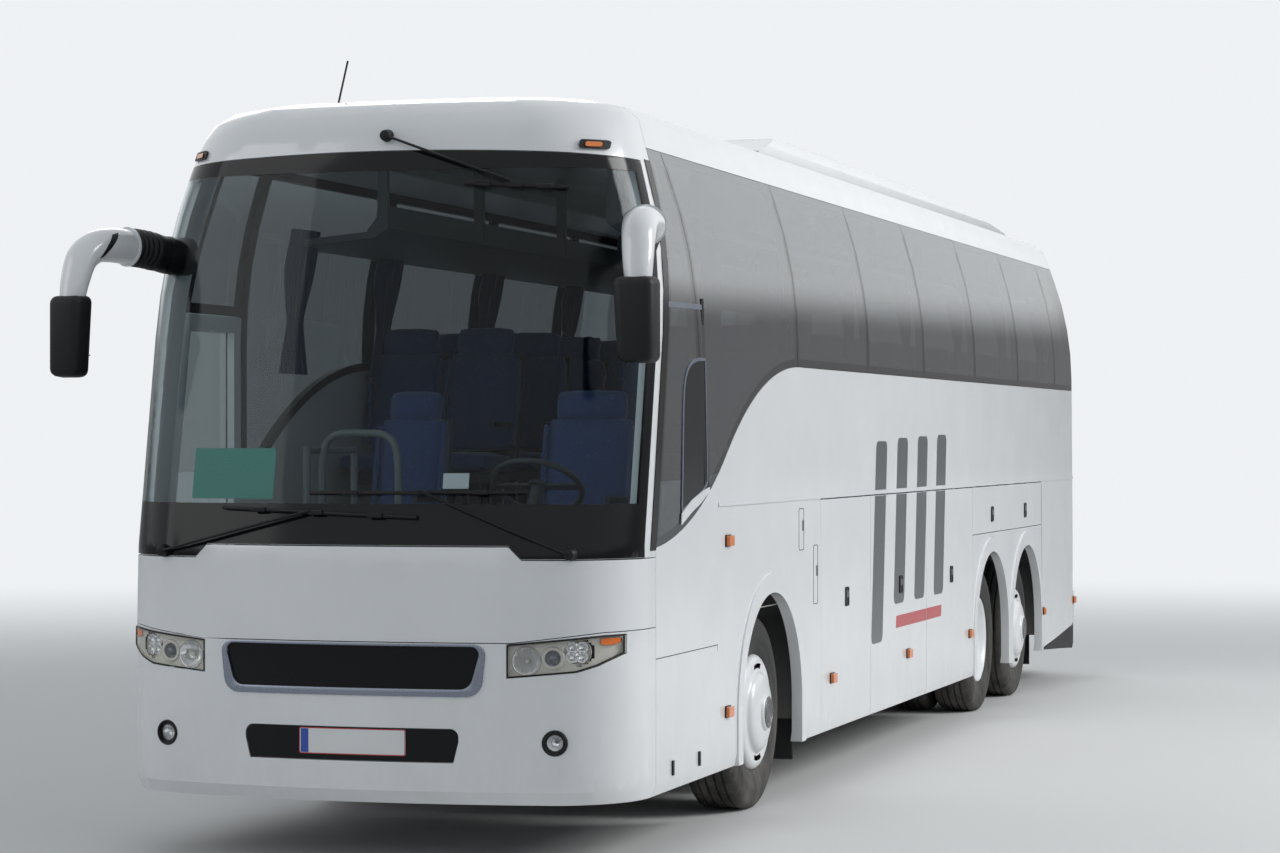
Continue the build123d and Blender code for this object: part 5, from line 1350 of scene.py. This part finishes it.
def make_curtains(fold):
    """Curtains gathered at the window posts, pinched by a tie below half height."""
    height = 0.76
    for side, side_name in SIDES:
        bm = bmesh.new()
        for y in CURTAINS:
            sheet = bmesh.new()
            bmesh.ops.create_grid(sheet, x_segments=48, y_segments=16, size=0.5)
            for vert in sheet.verts:
                u, v = vert.co.x + 0.5, vert.co.y + 0.5
                z = CURTAIN_FOOT + v * height
                gather = 1 - 0.5 * max(0, 1 - abs(v - TIE_AT) / TIE_AT)
                wave = sin(u * CURTAIN_FOLDS * pi + 0.6 * sin(v * 3))
                out = inner_x(z) - CURTAIN_GAP + fold * gather * wave
                vert.co = Vector((side * out, y + (u - 0.5) * CURTAIN_WIDTH * gather, z))
            bmesh.ops.recalc_face_normals(sheet, faces=sheet.faces)
            bmesh.ops.solidify(sheet, geom=sheet.faces[:], thickness=CURTAIN_THICK)
            put(bm, sheet)
        made = piece("curtains_" + side_name, bm, ("curtain_cloth",), angle=60)


# The seats: half widths of the driver's, the courier's and a passenger's, and where they stand
DRIVER_HALF, COURIER_HALF, SEAT_HALF = 0.24, 0.19, 0.215
CAB_SEATS = ((0.62, -5.26, CAB_Z, DRIVER_HALF), (-0.34, -5.24, CAB_Z, COURIER_HALF))
ROWS, FIRST_ROW_Y, ROW_PITCH, SEAT_X = 12, -3.7, 0.8, (0.52, 0.97, -0.52, -0.97)
# The back's pivot over the seat, and its lean in degrees
BACK_Y, BACK_Z, BACK_LEAN = 0.455, 0.47, 12.5


def cushion(low, high, soft, crown=(0, 0, 0), cuts=3):
    """A padded form: a rounded block whose faces swell between its seams."""
    bm = bmesh.new()
    bmesh.ops.create_cube(bm, size=2)
    bmesh.ops.subdivide_edges(bm, edges=bm.edges[:], cuts=cuts, use_grid_fill=True)
    half = (Vector(high) - Vector(low)) / 2
    middle = (Vector(high) + Vector(low)) / 2
    for vert in bm.verts:
        c = vert.co.copy()
        inside = Vector([max(-1 + soft / h, min(1 - soft / h, a)) for a, h in zip(c, half)])
        away = Vector([(a - b) * h for a, b, h in zip(c, inside, half)])
        point = Vector([b * h for b, h in zip(inside, half)])
        if away.length > 1e-9:
            point += away.normalized() * soft
        bulge = [crown[k] * (1 - c[(k + 1) % 3] ** 2) * (1 - c[(k + 2) % 3] ** 2) * c[k] for k in range(3)]
        vert.co = middle + point + Vector(bulge)
    return bm


def seat_parts(half):
    """One seat about its own place: +Y points backwards. Cloth first, then its shell and legs."""
    cloth, hard = bmesh.new(), bmesh.new()
    base = cushion((-half + 0.01, 0.0, 0.36), (half - 0.01, 0.44, 0.455), 0.035, (0, 0.01, 0.012))
    back = cushion((-half + 0.012, -0.045, 0.0), (half - 0.012, 0.045, 0.56), 0.035, (0, 0.018, 0), 4)
    headrest = cushion((-half + 0.055, -0.05, 0.545), (half - 0.055, 0.035, 0.7), 0.03, (0, 0.012, 0))
    lean = Matrix.Translation((0, BACK_Y, BACK_Z)) @ Matrix.Rotation(-radians(BACK_LEAN), 4, "X")
    put(cloth, base)
    put(cloth, back, lean)
    put(cloth, headrest, lean)
    for x in (-half + 0.012, half - 0.012):
        put(cloth, cushion((x - 0.014, -0.065, 0.03), (x + 0.014, 0.02, 0.52), 0.012, cuts=1), lean)
    put(hard, block((-half, 0.045, -0.06), (half, 0.066, 0.57), 0.01), lean)
    put(hard, block((-half + 0.02, 0.14, 0.29), (half - 0.02, 0.46, 0.355), 0.012, 1))
    for y in (0.17, 0.4):
        put(hard, block((-0.03, y - 0.018, 0.0), (0.03, y + 0.018, 0.3), 0.006, 1))
    put(hard, block((half - 0.03, 0.1, 0.6), (half + 0.006, 0.42, 0.635), 0.012))
    return cloth, hard


def make_seats():
    """The driver's seat, the courier seat and twelve rows of double seats."""
    places = list(CAB_SEATS)
    for row in range(ROWS):
        places += [(x, FIRST_ROW_Y + row * ROW_PITCH, DECK_Z, SEAT_HALF) for x in SEAT_X]
    cloth, hard = bmesh.new(), bmesh.new()
    for half in (DRIVER_HALF, COURIER_HALF, SEAT_HALF):
        soft_part, hard_part = seat_parts(half)
        spots = [Matrix.Translation(place[:3]) for place in places if place[3] == half]
        put_all(cloth, soft_part, spots)
        put_all(hard, hard_part, spots)
    stands_for = ("seats", "seat_backs")
    made = piece("seat_cushions", cloth, ("seat_cloth",), stands_for, angle=60, dedupe=False)
    piece("seat_shells", hard, ("cab_plastic",), dedupe=False)


# Profile of a dial, and the X of each one; one half of the rail beside the stairs, in X and Z
DIAL = ((0.012, 0.05), (0.0, 0.05), (-0.004, 0.044), (0.004, 0.04), (0.006, 0.0001))
DIAL_X, DIAL_Y, DIAL_Z = (0.42, 0.56, 0.7), -5.79, 1.545
RAIL = ((-0.54, 1.44), (-0.54, 1.7), (-0.53, 1.9), (-0.47, 1.975), (-0.34, 1.985))
RAIL_Y, RAIL_MIDDLE_X, RAIL_R = -5.42, -0.34, 0.018
# The box beside the stairs and its lid, and the small box on the dashboard, each from corner to corner
STAIR_BOX = ((-0.56, -5.9, CAB_Z), (-0.1, -5.5, 1.46))
BOX_LID = ((-0.57, -5.91, 1.46), (-0.09, -5.49, 1.475))
DASH_BOX = ((0.2, -5.98, 1.43), (0.3, -5.9, 1.5))
# The blank card and note, in the front view
CARD, NOTE = rect(-0.86, -0.42, 1.68, 1.915), rect(0.42, 0.54, 1.73, 1.8)


def make_cab_details():
    """The dials, the box and the rail beside the stairs, and a blank card and note behind the screen."""
    bm = bmesh.new()
    put(bm, block(*STAIR_BOX, 0.03, 3), paint=1)
    put(bm, block(*BOX_LID, 0.006), paint=2)
    tilt = Matrix.Rotation(-pi / 2 + 0.4, 4, "X") @ Matrix.Rotation(pi / 2, 4, "Y")
    for x in DIAL_X:
        put(bm, lathe(DIAL, 32), Matrix.Translation((x, DIAL_Y, DIAL_Z)) @ tilt, 1)
    put(bm, block(*DASH_BOX, 0.012), paint=1)
    rail = [(x, RAIL_Y, z) for x, z in RAIL]
    rail += [(2 * RAIL_MIDDLE_X - x, y, z) for x, y, z in reversed(rail[:-1])]
    put(bm, sweep(smooth_path(rail, 4), RAIL_R, 12))
    put(bm, behind_screen(CARD, 0.006, 0.03), paint=3)
    put(bm, behind_screen(NOTE, 0.003, 0.02), paint=4)
    finishes = ("trim_grey", "cab_plastic", "silver_frame", "card_green", "plate_white")
    piece("cab_details", bm, finishes)


def behind_screen(points, corner, gap):
    """A card that stands behind the windscreen."""
    card = thicken(flat(points, corner=corner), (0, 0.002, 0))
    return drape(shift(card, (0, gap, 0)), ALONG, skin("windscreen"))


# Outlines on the driver's side, in Y and Z: the pane, its sill, the post's seal behind it, the bar over it
DRIVER_OPENING = (
    (-5.35, 1.6), (-4.99, 1.69), (-4.89, 1.74), (-4.93, 2.352), (-5.06, 2.35), (-5.16, 2.335),
    (-5.235, 2.305), (-5.285, 2.255), (-5.31, 2.19), (-5.322, 2.1),
)
DRIVER_SILL = (
    (-5.367, 1.545), (-5.36, 1.6), (-5.2, 1.66), (-5.0, 1.702), (-4.88, 1.72), (-4.87, 1.7),
    (-5.03, 1.645), (-5.2, 1.6),
)
DRIVER_POST = ((-4.95, 1.705), (-4.865, 1.7), (-4.945, 2.64), (-4.985, 2.64))
DRIVER_BAR = ((-5.555, 2.578), (-4.99, 2.585), (-4.992, 2.61), (-5.55, 2.605))
# The line of the front pillar's rear edge on both sides, and the seal strip's reach ahead of it
PILLAR_EDGE = (
    (-5.765, 1.44), (-5.73, 1.6), (-5.65, 2.0), (-5.57, 2.4), (-5.53, 2.6), (-5.49, 2.8), (-5.45, 3.0),
    (-5.41, 3.2), (-5.395, 3.28),
)
SEAL_AHEAD, SEAL_BEHIND = 0.09, 0.004
SEAL_LEVELS = [1.4 + 0.1 * k for k in range(20)]
# The front door's two panes, and its grip
DOOR_PANES = (
    ((-5.69, 0.61), (-4.93, 0.61), (-4.93, 1.275), (-5.69, 1.275)),
    ((-5.69, 1.385), (-4.93, 1.385), (-4.93, 2.52), (-5.49, 2.52)),
)
DOOR_GRIP = rect(-5.03, -4.97, 1.2, 1.34)


def make_driver_window():
    """The driver's open pane in its frame, the white sill, the pillars' seals and the front door's seals."""
    bm = bmesh.new()
    put(bm, side_patch(LEFT, DRIVER_OPENING, 0.02, (0.0, 0.002)), paint=0)
    put(bm, side_patch(LEFT, DRIVER_OPENING, 0.02, (0.0, 0.005), 0.016), paint=1)
    put(bm, side_patch(LEFT, DRIVER_SILL, 0.004, (0.005, 0.009)), paint=2)
    put(bm, side_patch(LEFT, DRIVER_POST, 0.004, (0.0005, 0.004)), paint=0)
    put(bm, side_patch(LEFT, DRIVER_BAR, 0.004, (0.0005, 0.006)), paint=1)
    ahead = [(y - SEAL_AHEAD, z) for y, z in PILLAR_EDGE]
    strip = ahead + [(y - SEAL_BEHIND, z) for y, z in reversed(PILLAR_EDGE)]
    for side, outline in ((LEFT, strip), (RIGHT, strip[3:-3])):
        put(bm, side_patch(side, outline, 0, (0.0005, 0.004), levels=SEAL_LEVELS), paint=0)
    piece("driver_window", bm, ("black_gloss", "silver_frame", "body_paint"))
    seal = bmesh.new()
    for outline in DOOR_PANES:
        put(seal, side_patch(RIGHT, outline, 0.03, (0.0005, 0.005), 0.022))
    put(seal, side_patch(RIGHT, DOOR_GRIP, 0.012, (0.002, 0.02)))
    piece("door_seals", seal, ("black_rubber",), body="front_door")


REAR_FINISHES = ("black_moulding", "plate_white", "lamp_orange", "lamp_red")
REAR_BLACK, REAR_WHITE, REAR_ORANGE, REAR_RED = range(len(REAR_FINISHES))
# Tail lamps: X of the clusters, and each lens's middle Z, finish and height
TAIL_X = 1.05
TAIL_LENSES = ((1.5, REAR_ORANGE, 0.13), (1.345, REAR_RED, 0.14), (1.19, REAR_RED, 0.13))
# Half width, foot and head of a cluster, of the reflector under it, and of the lamp at the roof
CLUSTER, REFLECTOR, TOP_LAMP = (0.082, 1.07, 1.61), (0.05, 0.76, 0.82), (0.045, 3.2, 3.235)
# How far out the lamp at the roof is, for the cluster's X
TOP_LAMP_SHARE = 0.93
REAR_PLATE = rect(-0.3, 0.3, 0.52, 0.64)
LOUVRES, LOUVRE_FOOT, LOUVRE_PITCH, LOUVRE_TALL = 12, 0.8, 0.033, 0.017
LOUVRE_X, LOUVRE_HALF = (-0.45, 0.45), 0.36
HANDLE_TRAY, HANDLE = rect(-0.11, 0.11, 1.25, 1.31), rect(-0.08, 0.08, 1.265, 1.285)


def rear_patch(points, corner, lift, width=None):
    """A thin panel or frame on the bowed tail."""
    bm = flat(points, corner=corner)
    if width:
        frame_of(bm, width)
    step = 0.08
    cut_up(bm, ACROSS, min(x for x, _ in points) + step, max(x for x, _ in points), step)
    shift(bm, (0, lift[0], 0))
    thicken(bm, (0, lift[1] - lift[0], 0))
    return drape(bm, (0, -1, 0))


def make_rear():
    """Tail lamp clusters, reflectors, a blank plate, and the hatch's louvres and handle."""
    bm = bmesh.new()
    for x in (TAIL_X, -TAIL_X):
        put(bm, rear_patch(upright(x, *CLUSTER), 0.06, (0.0, 0.03)), paint=REAR_BLACK)
        for z, paint, tall in TAIL_LENSES:
            put(bm, rear_patch(around(x, z, 0.062, tall / 2), 0.035, (0.03, 0.045)), paint=paint)
        put(bm, rear_patch(upright(x, *REFLECTOR), 0.01, (0.0, 0.012)), paint=REAR_RED)
        put(bm, rear_patch(upright(x * TOP_LAMP_SHARE, *TOP_LAMP), 0.012, (0.0, 0.016)), paint=REAR_RED)
    put(bm, rear_patch(REAR_PLATE, 0.01, (0.0, 0.004)), paint=REAR_WHITE)
    put(bm, rear_patch(REAR_PLATE, 0.01, (0.003, 0.007), 0.006), paint=REAR_BLACK)
    piece("rear_lamps", bm, REAR_FINISHES)
    hatch = bmesh.new()
    for k in range(LOUVRES):
        z = LOUVRE_FOOT + k * LOUVRE_PITCH
        for x in LOUVRE_X:
            put(hatch, rear_patch(upright(x, LOUVRE_HALF, z, z + LOUVRE_TALL), 0.006, (0.0, 0.006)))
    put(hatch, rear_patch(HANDLE_TRAY, 0.02, (0.0, 0.012)))
    put(hatch, rear_patch(HANDLE, 0.008, (0.012, 0.03)), paint=1)
    piece("hatch_louvres", hatch, ("black_moulding", "silver_frame"), body="engine_hatch")


# The mudflap of the left wheel, from corner to corner; an air tank's radius, half length and place
MUDFLAP = ((0.88, -2.93, 0.19), (1.2, -2.918, 0.6))
TANK_R, TANK_HALF, TANK_PLACE = 0.13, 0.35, (0.72, 5.35, 0.6)
# The exhaust's end: its place, and its profile in length and radius
PIPE_PLACE = (0.78, 6.1, 0.42)
PIPE = ((0.0, 0.046), (0.0, 0.05), (0.22, 0.05), (0.22, 0.046), (0.0, 0.046))


def make_under():
    """The mudflaps behind the front wheels, the air tanks and the exhaust's end."""
    bm = bmesh.new()
    for side in (LEFT, RIGHT):
        mirrored = Matrix.Diagonal((side, 1, 1, 1))
        put(bm, block(*MUDFLAP, 0.004, 1), mirrored, 0)
        tank = drum(TANK_R, -TANK_HALF, TANK_HALF, ALONG, 0.03, 28, mirrored @ Vector(TANK_PLACE))
        put(bm, tank, paint=1)
    place = Matrix.Translation(PIPE_PLACE) @ Matrix.Rotation(pi / 2, 4, "Z")
    put(bm, lathe(PIPE, 28), place, 2)
    piece("under_parts", bm, ("black_rubber", "chassis_black", "silver_frame"))


# The roof unit's outline: half width, front and rear; parts of its joint line, and its height over the roof
UNIT_HALF, UNIT_FRONT, UNIT_REAR = 0.872, -2.42, 5.28
JOINT_PARTS, JOINT_LIFT = 12, 0.002


def make_roof_trim():
    """The dark joint where the roof unit meets the roof."""
    bm = bmesh.new()
    for x in (UNIT_HALF, -UNIT_HALF):
        put(bm, on_roof((x, UNIT_FRONT), (x, UNIT_REAR), 0.011))
    put(bm, on_roof((-UNIT_HALF, UNIT_FRONT), (UNIT_HALF, UNIT_FRONT), 0.009))
    piece("roof_joint", bm, ("black_moulding",))


def on_roof(start, end, radius):
    """A bar on the roof between two points of the plan."""
    tree = skin("roof_shell")
    path = []
    for k in range(JOINT_PARTS + 1):
        x, y = (a + (b - a) * k / JOINT_PARTS for a, b in zip(start, end))
        hit = tree.ray_cast(Vector((x, y, FAR)), -GROUND_UP)[0]
        path.append((x, y, hit.z + JOINT_LIFT))
    return sweep(path, radius, 8)


# Stage


FLOOR_COLOUR, SKY_COLOUR, SHADE_COLOUR = (0.72, 0.72, 0.71, 1), (0.86, 0.88, 0.9, 1), (0.86, 0.93, 1.0, 1)
FLOOR_HALF = 150
# The floor fades into the sky between these distances from the coach, for the camera alone
FADE_FROM, FADE_TO = 8.0, 24.0
# Strength of the sky as a lamp, and of what reflections see: near the horizon, and above this slope
SKY_LIGHT, HORIZON_LIGHT, HORIZON_FROM, HORIZON_TO = 0.42, 0.28, 0.06, 0.12
# name, place, aim, size, power
LAMPS = (
    ("key_lamp", (14, 0, 9), (0, 0, 1), 7, 1520),
    ("fill_lamp", (-13, -16, 9), (0, -3, 1.5), 10, 420),
    ("rear_lamp", (-10, 16, 12), (0, 3, 1.5), 10, 420),
)


def make_floor():
    """A pale floor that fades into the sky."""
    tree, shader = fresh_material("studio_floor")
    grain = use_group(tree, "fine_grain", Scale=6.0, Roughness=0.85, Spread=0.05)
    tree.links.new(shader.inputs["Roughness"], grain.outputs["Roughness"])
    shader.inputs["Base Color"].default_value = FLOOR_COLOUR
    far = wire(tree, "VectorMath", ((0, wire(tree, "TexCoord").outputs["Object"]),), operation="LENGTH")
    fade = wire(
        tree, "MapRange", (("Value", far.outputs["Value"]),), From_Min=FADE_FROM, From_Max=FADE_TO,
        interpolation_type="SMOOTHSTEP",
    )
    seen = wire(tree, "LightPath").outputs["Is Camera Ray"]
    share = wire(tree, "Math", ((0, fade.outputs[0]), (1, seen)), operation="MULTIPLY")
    sky = wire(tree, "Emission", Color=SKY_COLOUR)
    mix = wire(tree, "MixShader", ((0, share.outputs[0]), (1, shader.outputs[0]), (2, sky.outputs[0])))
    tree.links.new(tree.nodes["Material Output"].inputs["Surface"], mix.outputs[0])
    bm = bmesh.new()
    bmesh.ops.create_grid(bm, x_segments=2, y_segments=2, size=FLOOR_HALF)
    mesh = bpy.data.meshes.new("studio_floor")
    bm.to_mesh(mesh)
    bm.free()
    mesh.materials.append(MADE["studio_floor"])
    floor = bpy.data.objects.new("studio_floor", mesh)
    bpy.context.scene.collection.objects.link(floor)


def make_sky():
    """A plain sky: bright to the camera and through glass, darker as a lamp, and graded in reflections."""
    world = bpy.data.worlds.new("studio_sky")
    bpy.context.scene.world = world
    world.use_nodes = True
    tree = world.node_tree
    plain, bright = tree.nodes["Background"], tree.nodes.new("ShaderNodeBackground")
    plain.inputs["Color"].default_value = SHADE_COLOUR
    plain.inputs["Strength"].default_value = SKY_LIGHT
    bright.inputs["Color"].default_value = SKY_COLOUR
    way = wire(tree, "SeparateXYZ", ((0, wire(tree, "TexCoord").outputs["Generated"]),))
    rise = wire(
        tree, "MapRange", (("Value", way.outputs["Z"]),), From_Min=HORIZON_FROM, From_Max=HORIZON_TO,
        To_Min=HORIZON_LIGHT, To_Max=1.0, interpolation_type="SMOOTHSTEP",
    )
    path = wire(tree, "LightPath").outputs
    only = wire(tree, "MapRange", (("Value", path["Is Glossy Ray"]), ("To Max", rise.outputs[0])), To_Min=1.0)
    tree.links.new(bright.inputs["Strength"], only.outputs[0])
    seen = wire(tree, "Math", ((0, path["Is Camera Ray"]), (1, path["Is Glossy Ray"])), operation="MAXIMUM")
    rays = ((0, seen.outputs[0]), (1, path["Is Transmission Ray"]))
    through = wire(tree, "Math", rays, operation="MAXIMUM")
    mix = wire(tree, "MixShader", ((0, through.outputs[0]), (1, plain.outputs[0]), (2, bright.outputs[0])))
    tree.links.new(tree.nodes["World Output"].inputs["Surface"], mix.outputs[0])


def make_stage():
    """The floor, the sky and three broad lamps."""
    make_floor()
    make_sky()
    for name, place, aim, size, power in LAMPS:
        lamp = bpy.data.lights.new(name, "AREA")
        lamp.size, lamp.energy = size, power
        shown = bpy.data.objects.new(name, lamp)
        shown.location = place
        shown.rotation_euler = (Vector(aim) - Vector(place)).to_track_quat("-Z", "Y").to_euler()
        bpy.context.scene.collection.objects.link(shown)


# The photograph's own viewpoint: place, turn in degrees, and lens
CAMERA_PLACE, CAMERA_TURN, CAMERA_LENS = (5.476, -19.606, 1.958), (90.22, 0.07, 17.17), 87.784


def make_camera():
    """The camera at the photograph's own viewpoint."""
    data = bpy.data.cameras.new("photo_camera")
    data.sensor_width, data.lens = 36.0, CAMERA_LENS
    data.clip_end = 500
    camera = bpy.data.objects.new("photo_camera", data)
    camera.location = CAMERA_PLACE
    camera.rotation_euler = [radians(angle) for angle in CAMERA_TURN]
    bpy.context.scene.collection.objects.link(camera)
    bpy.context.scene.camera = camera


# Operators


class COACH_OT_finishes(bpy.types.Operator):
    """Make every material and give it to the packed nodes."""

    bl_idname = "coach.finishes"
    bl_label = "Finishes"

    def execute(self, context):
        chosen = context.scene.coach_finish
        GROUPS["fine_grain"] = make_grain_group()
        GROUPS["road_dust"] = make_dust_group()
        GROUPS["cloth_weave"] = make_weave_group()
        picked = {
            "body_paint": chosen.paint,
            "wheel_paint": chosen.wheel_paint,
            "lamp_orange": chosen.lamp,
            "graphic_dark": chosen.graphic,
        }
        for name, (colour, *values) in FINISHES.items():
            make_finish(name, chosen.dust, tuple(picked.get(name, colour)), *values)
        for name, values in GLASSES.items():
            make_glass(name, *values)
        for name, (ground, *values) in CLOTHS.items():
            make_cloth(name, tuple(chosen.cloth) if name == "seat_cloth" else ground, *values)
        dress_frame()
        return {"FINISHED"}


def operator(name, label, about, work, *sizes):
    """An operator class for one group of pieces; sizes are the panel's values that the work takes."""

    def execute(self, context):
        work(*(getattr(context.scene.coach_sizes, size) for size in sizes))
        return {"FINISHED"}

    return type("COACH_OT_" + name, (bpy.types.Operator,), {
        "__doc__": about, "bl_idname": "coach." + name, "bl_label": label, "execute": execute,
    })


# name, label, what it does, function, sizes
OPERATORS = [COACH_OT_finishes] + [
    operator(*row)
    for row in (
        ("windscreen", "Windscreen", "Make the windscreen with its black border.", make_windscreen),
        ("grille", "Grille", "Make the grille and its silver frame.", make_grille),
        ("headlamps", "Headlamps", "Make the headlamps and fog lamps.", make_headlamps),
        ("front_trim", "Front trim", "Make the plate's recess and the plate.", make_front_trim),
        ("wipers", "Wipers", "Make the three wipers.", make_wipers),
        ("mirrors", "Mirrors", "Make the mirrors on their arms.", make_mirrors),
        ("wheels", "Wheels", "Make the tyres, rims and caps.", make_wheels, "tread_depth", "wheel_steps"),
        ("side_trim", "Side trim", "Make markers, catches and flaps.", make_side_trim, "joint_width"),
        ("side_graphic", "Side graphic", "Make the slanted bars and stripe.", make_side_graphic),
        ("driver_window", "Driver's window", "Make the pane's frame and the door seals.", make_driver_window),
        ("seats", "Seats", "Make all the seats.", make_seats),
        ("curtains", "Curtains", "Make the curtains.", make_curtains, "curtain_fold"),
        ("cab_details", "Cab details", "Make the cab's small parts.", make_cab_details),
        ("rear", "Rear", "Make the tail lamps, plate and louvres.", make_rear),
        ("under", "Under parts", "Make the mudflaps, tanks and exhaust.", make_under),
        ("roof_trim", "Roof trim", "Make the roof unit's joint.", make_roof_trim),
        ("stage", "Stage", "Make the floor, sky and lamps.", make_stage),
        ("camera", "Camera", "Make the camera at the photograph's viewpoint.", make_camera),
    )
]


class COACH_PT_panel(bpy.types.Panel):
    """Lists the coach's operators and its sizes."""

    bl_idname = "COACH_PT_panel"
    bl_label = "Coach"
    bl_space_type = "VIEW_3D"
    bl_region_type = "UI"
    bl_category = "Coach"

    def draw(self, context):
        for holder in (context.scene.coach_finish, context.scene.coach_sizes):
            for name in holder.bl_rna.properties.keys():
                if name not in ("rna_type", "name"):
                    self.layout.prop(holder, name)
        for item in OPERATORS:
            self.layout.operator(item.bl_idname)


CLASSES = [CoachFinish, CoachSizes, *OPERATORS, COACH_PT_panel]


def register():
    for item in CLASSES:
        bpy.utils.register_class(item)
    bpy.types.Scene.coach_finish = PointerProperty(type=CoachFinish)
    bpy.types.Scene.coach_sizes = PointerProperty(type=CoachSizes)


def unregister():
    del bpy.types.Scene.coach_finish, bpy.types.Scene.coach_sizes
    for item in reversed(CLASSES):
        bpy.utils.unregister_class(item)


def main():
    register()
    for item in OPERATORS:
        group, name = item.bl_idname.split(".")
        getattr(getattr(bpy.ops, group), name)()
    bpy.context.scene.view_settings.view_transform = "Standard"
    bpy.context.view_layer.update()


if __name__ == "__main__":
    main()
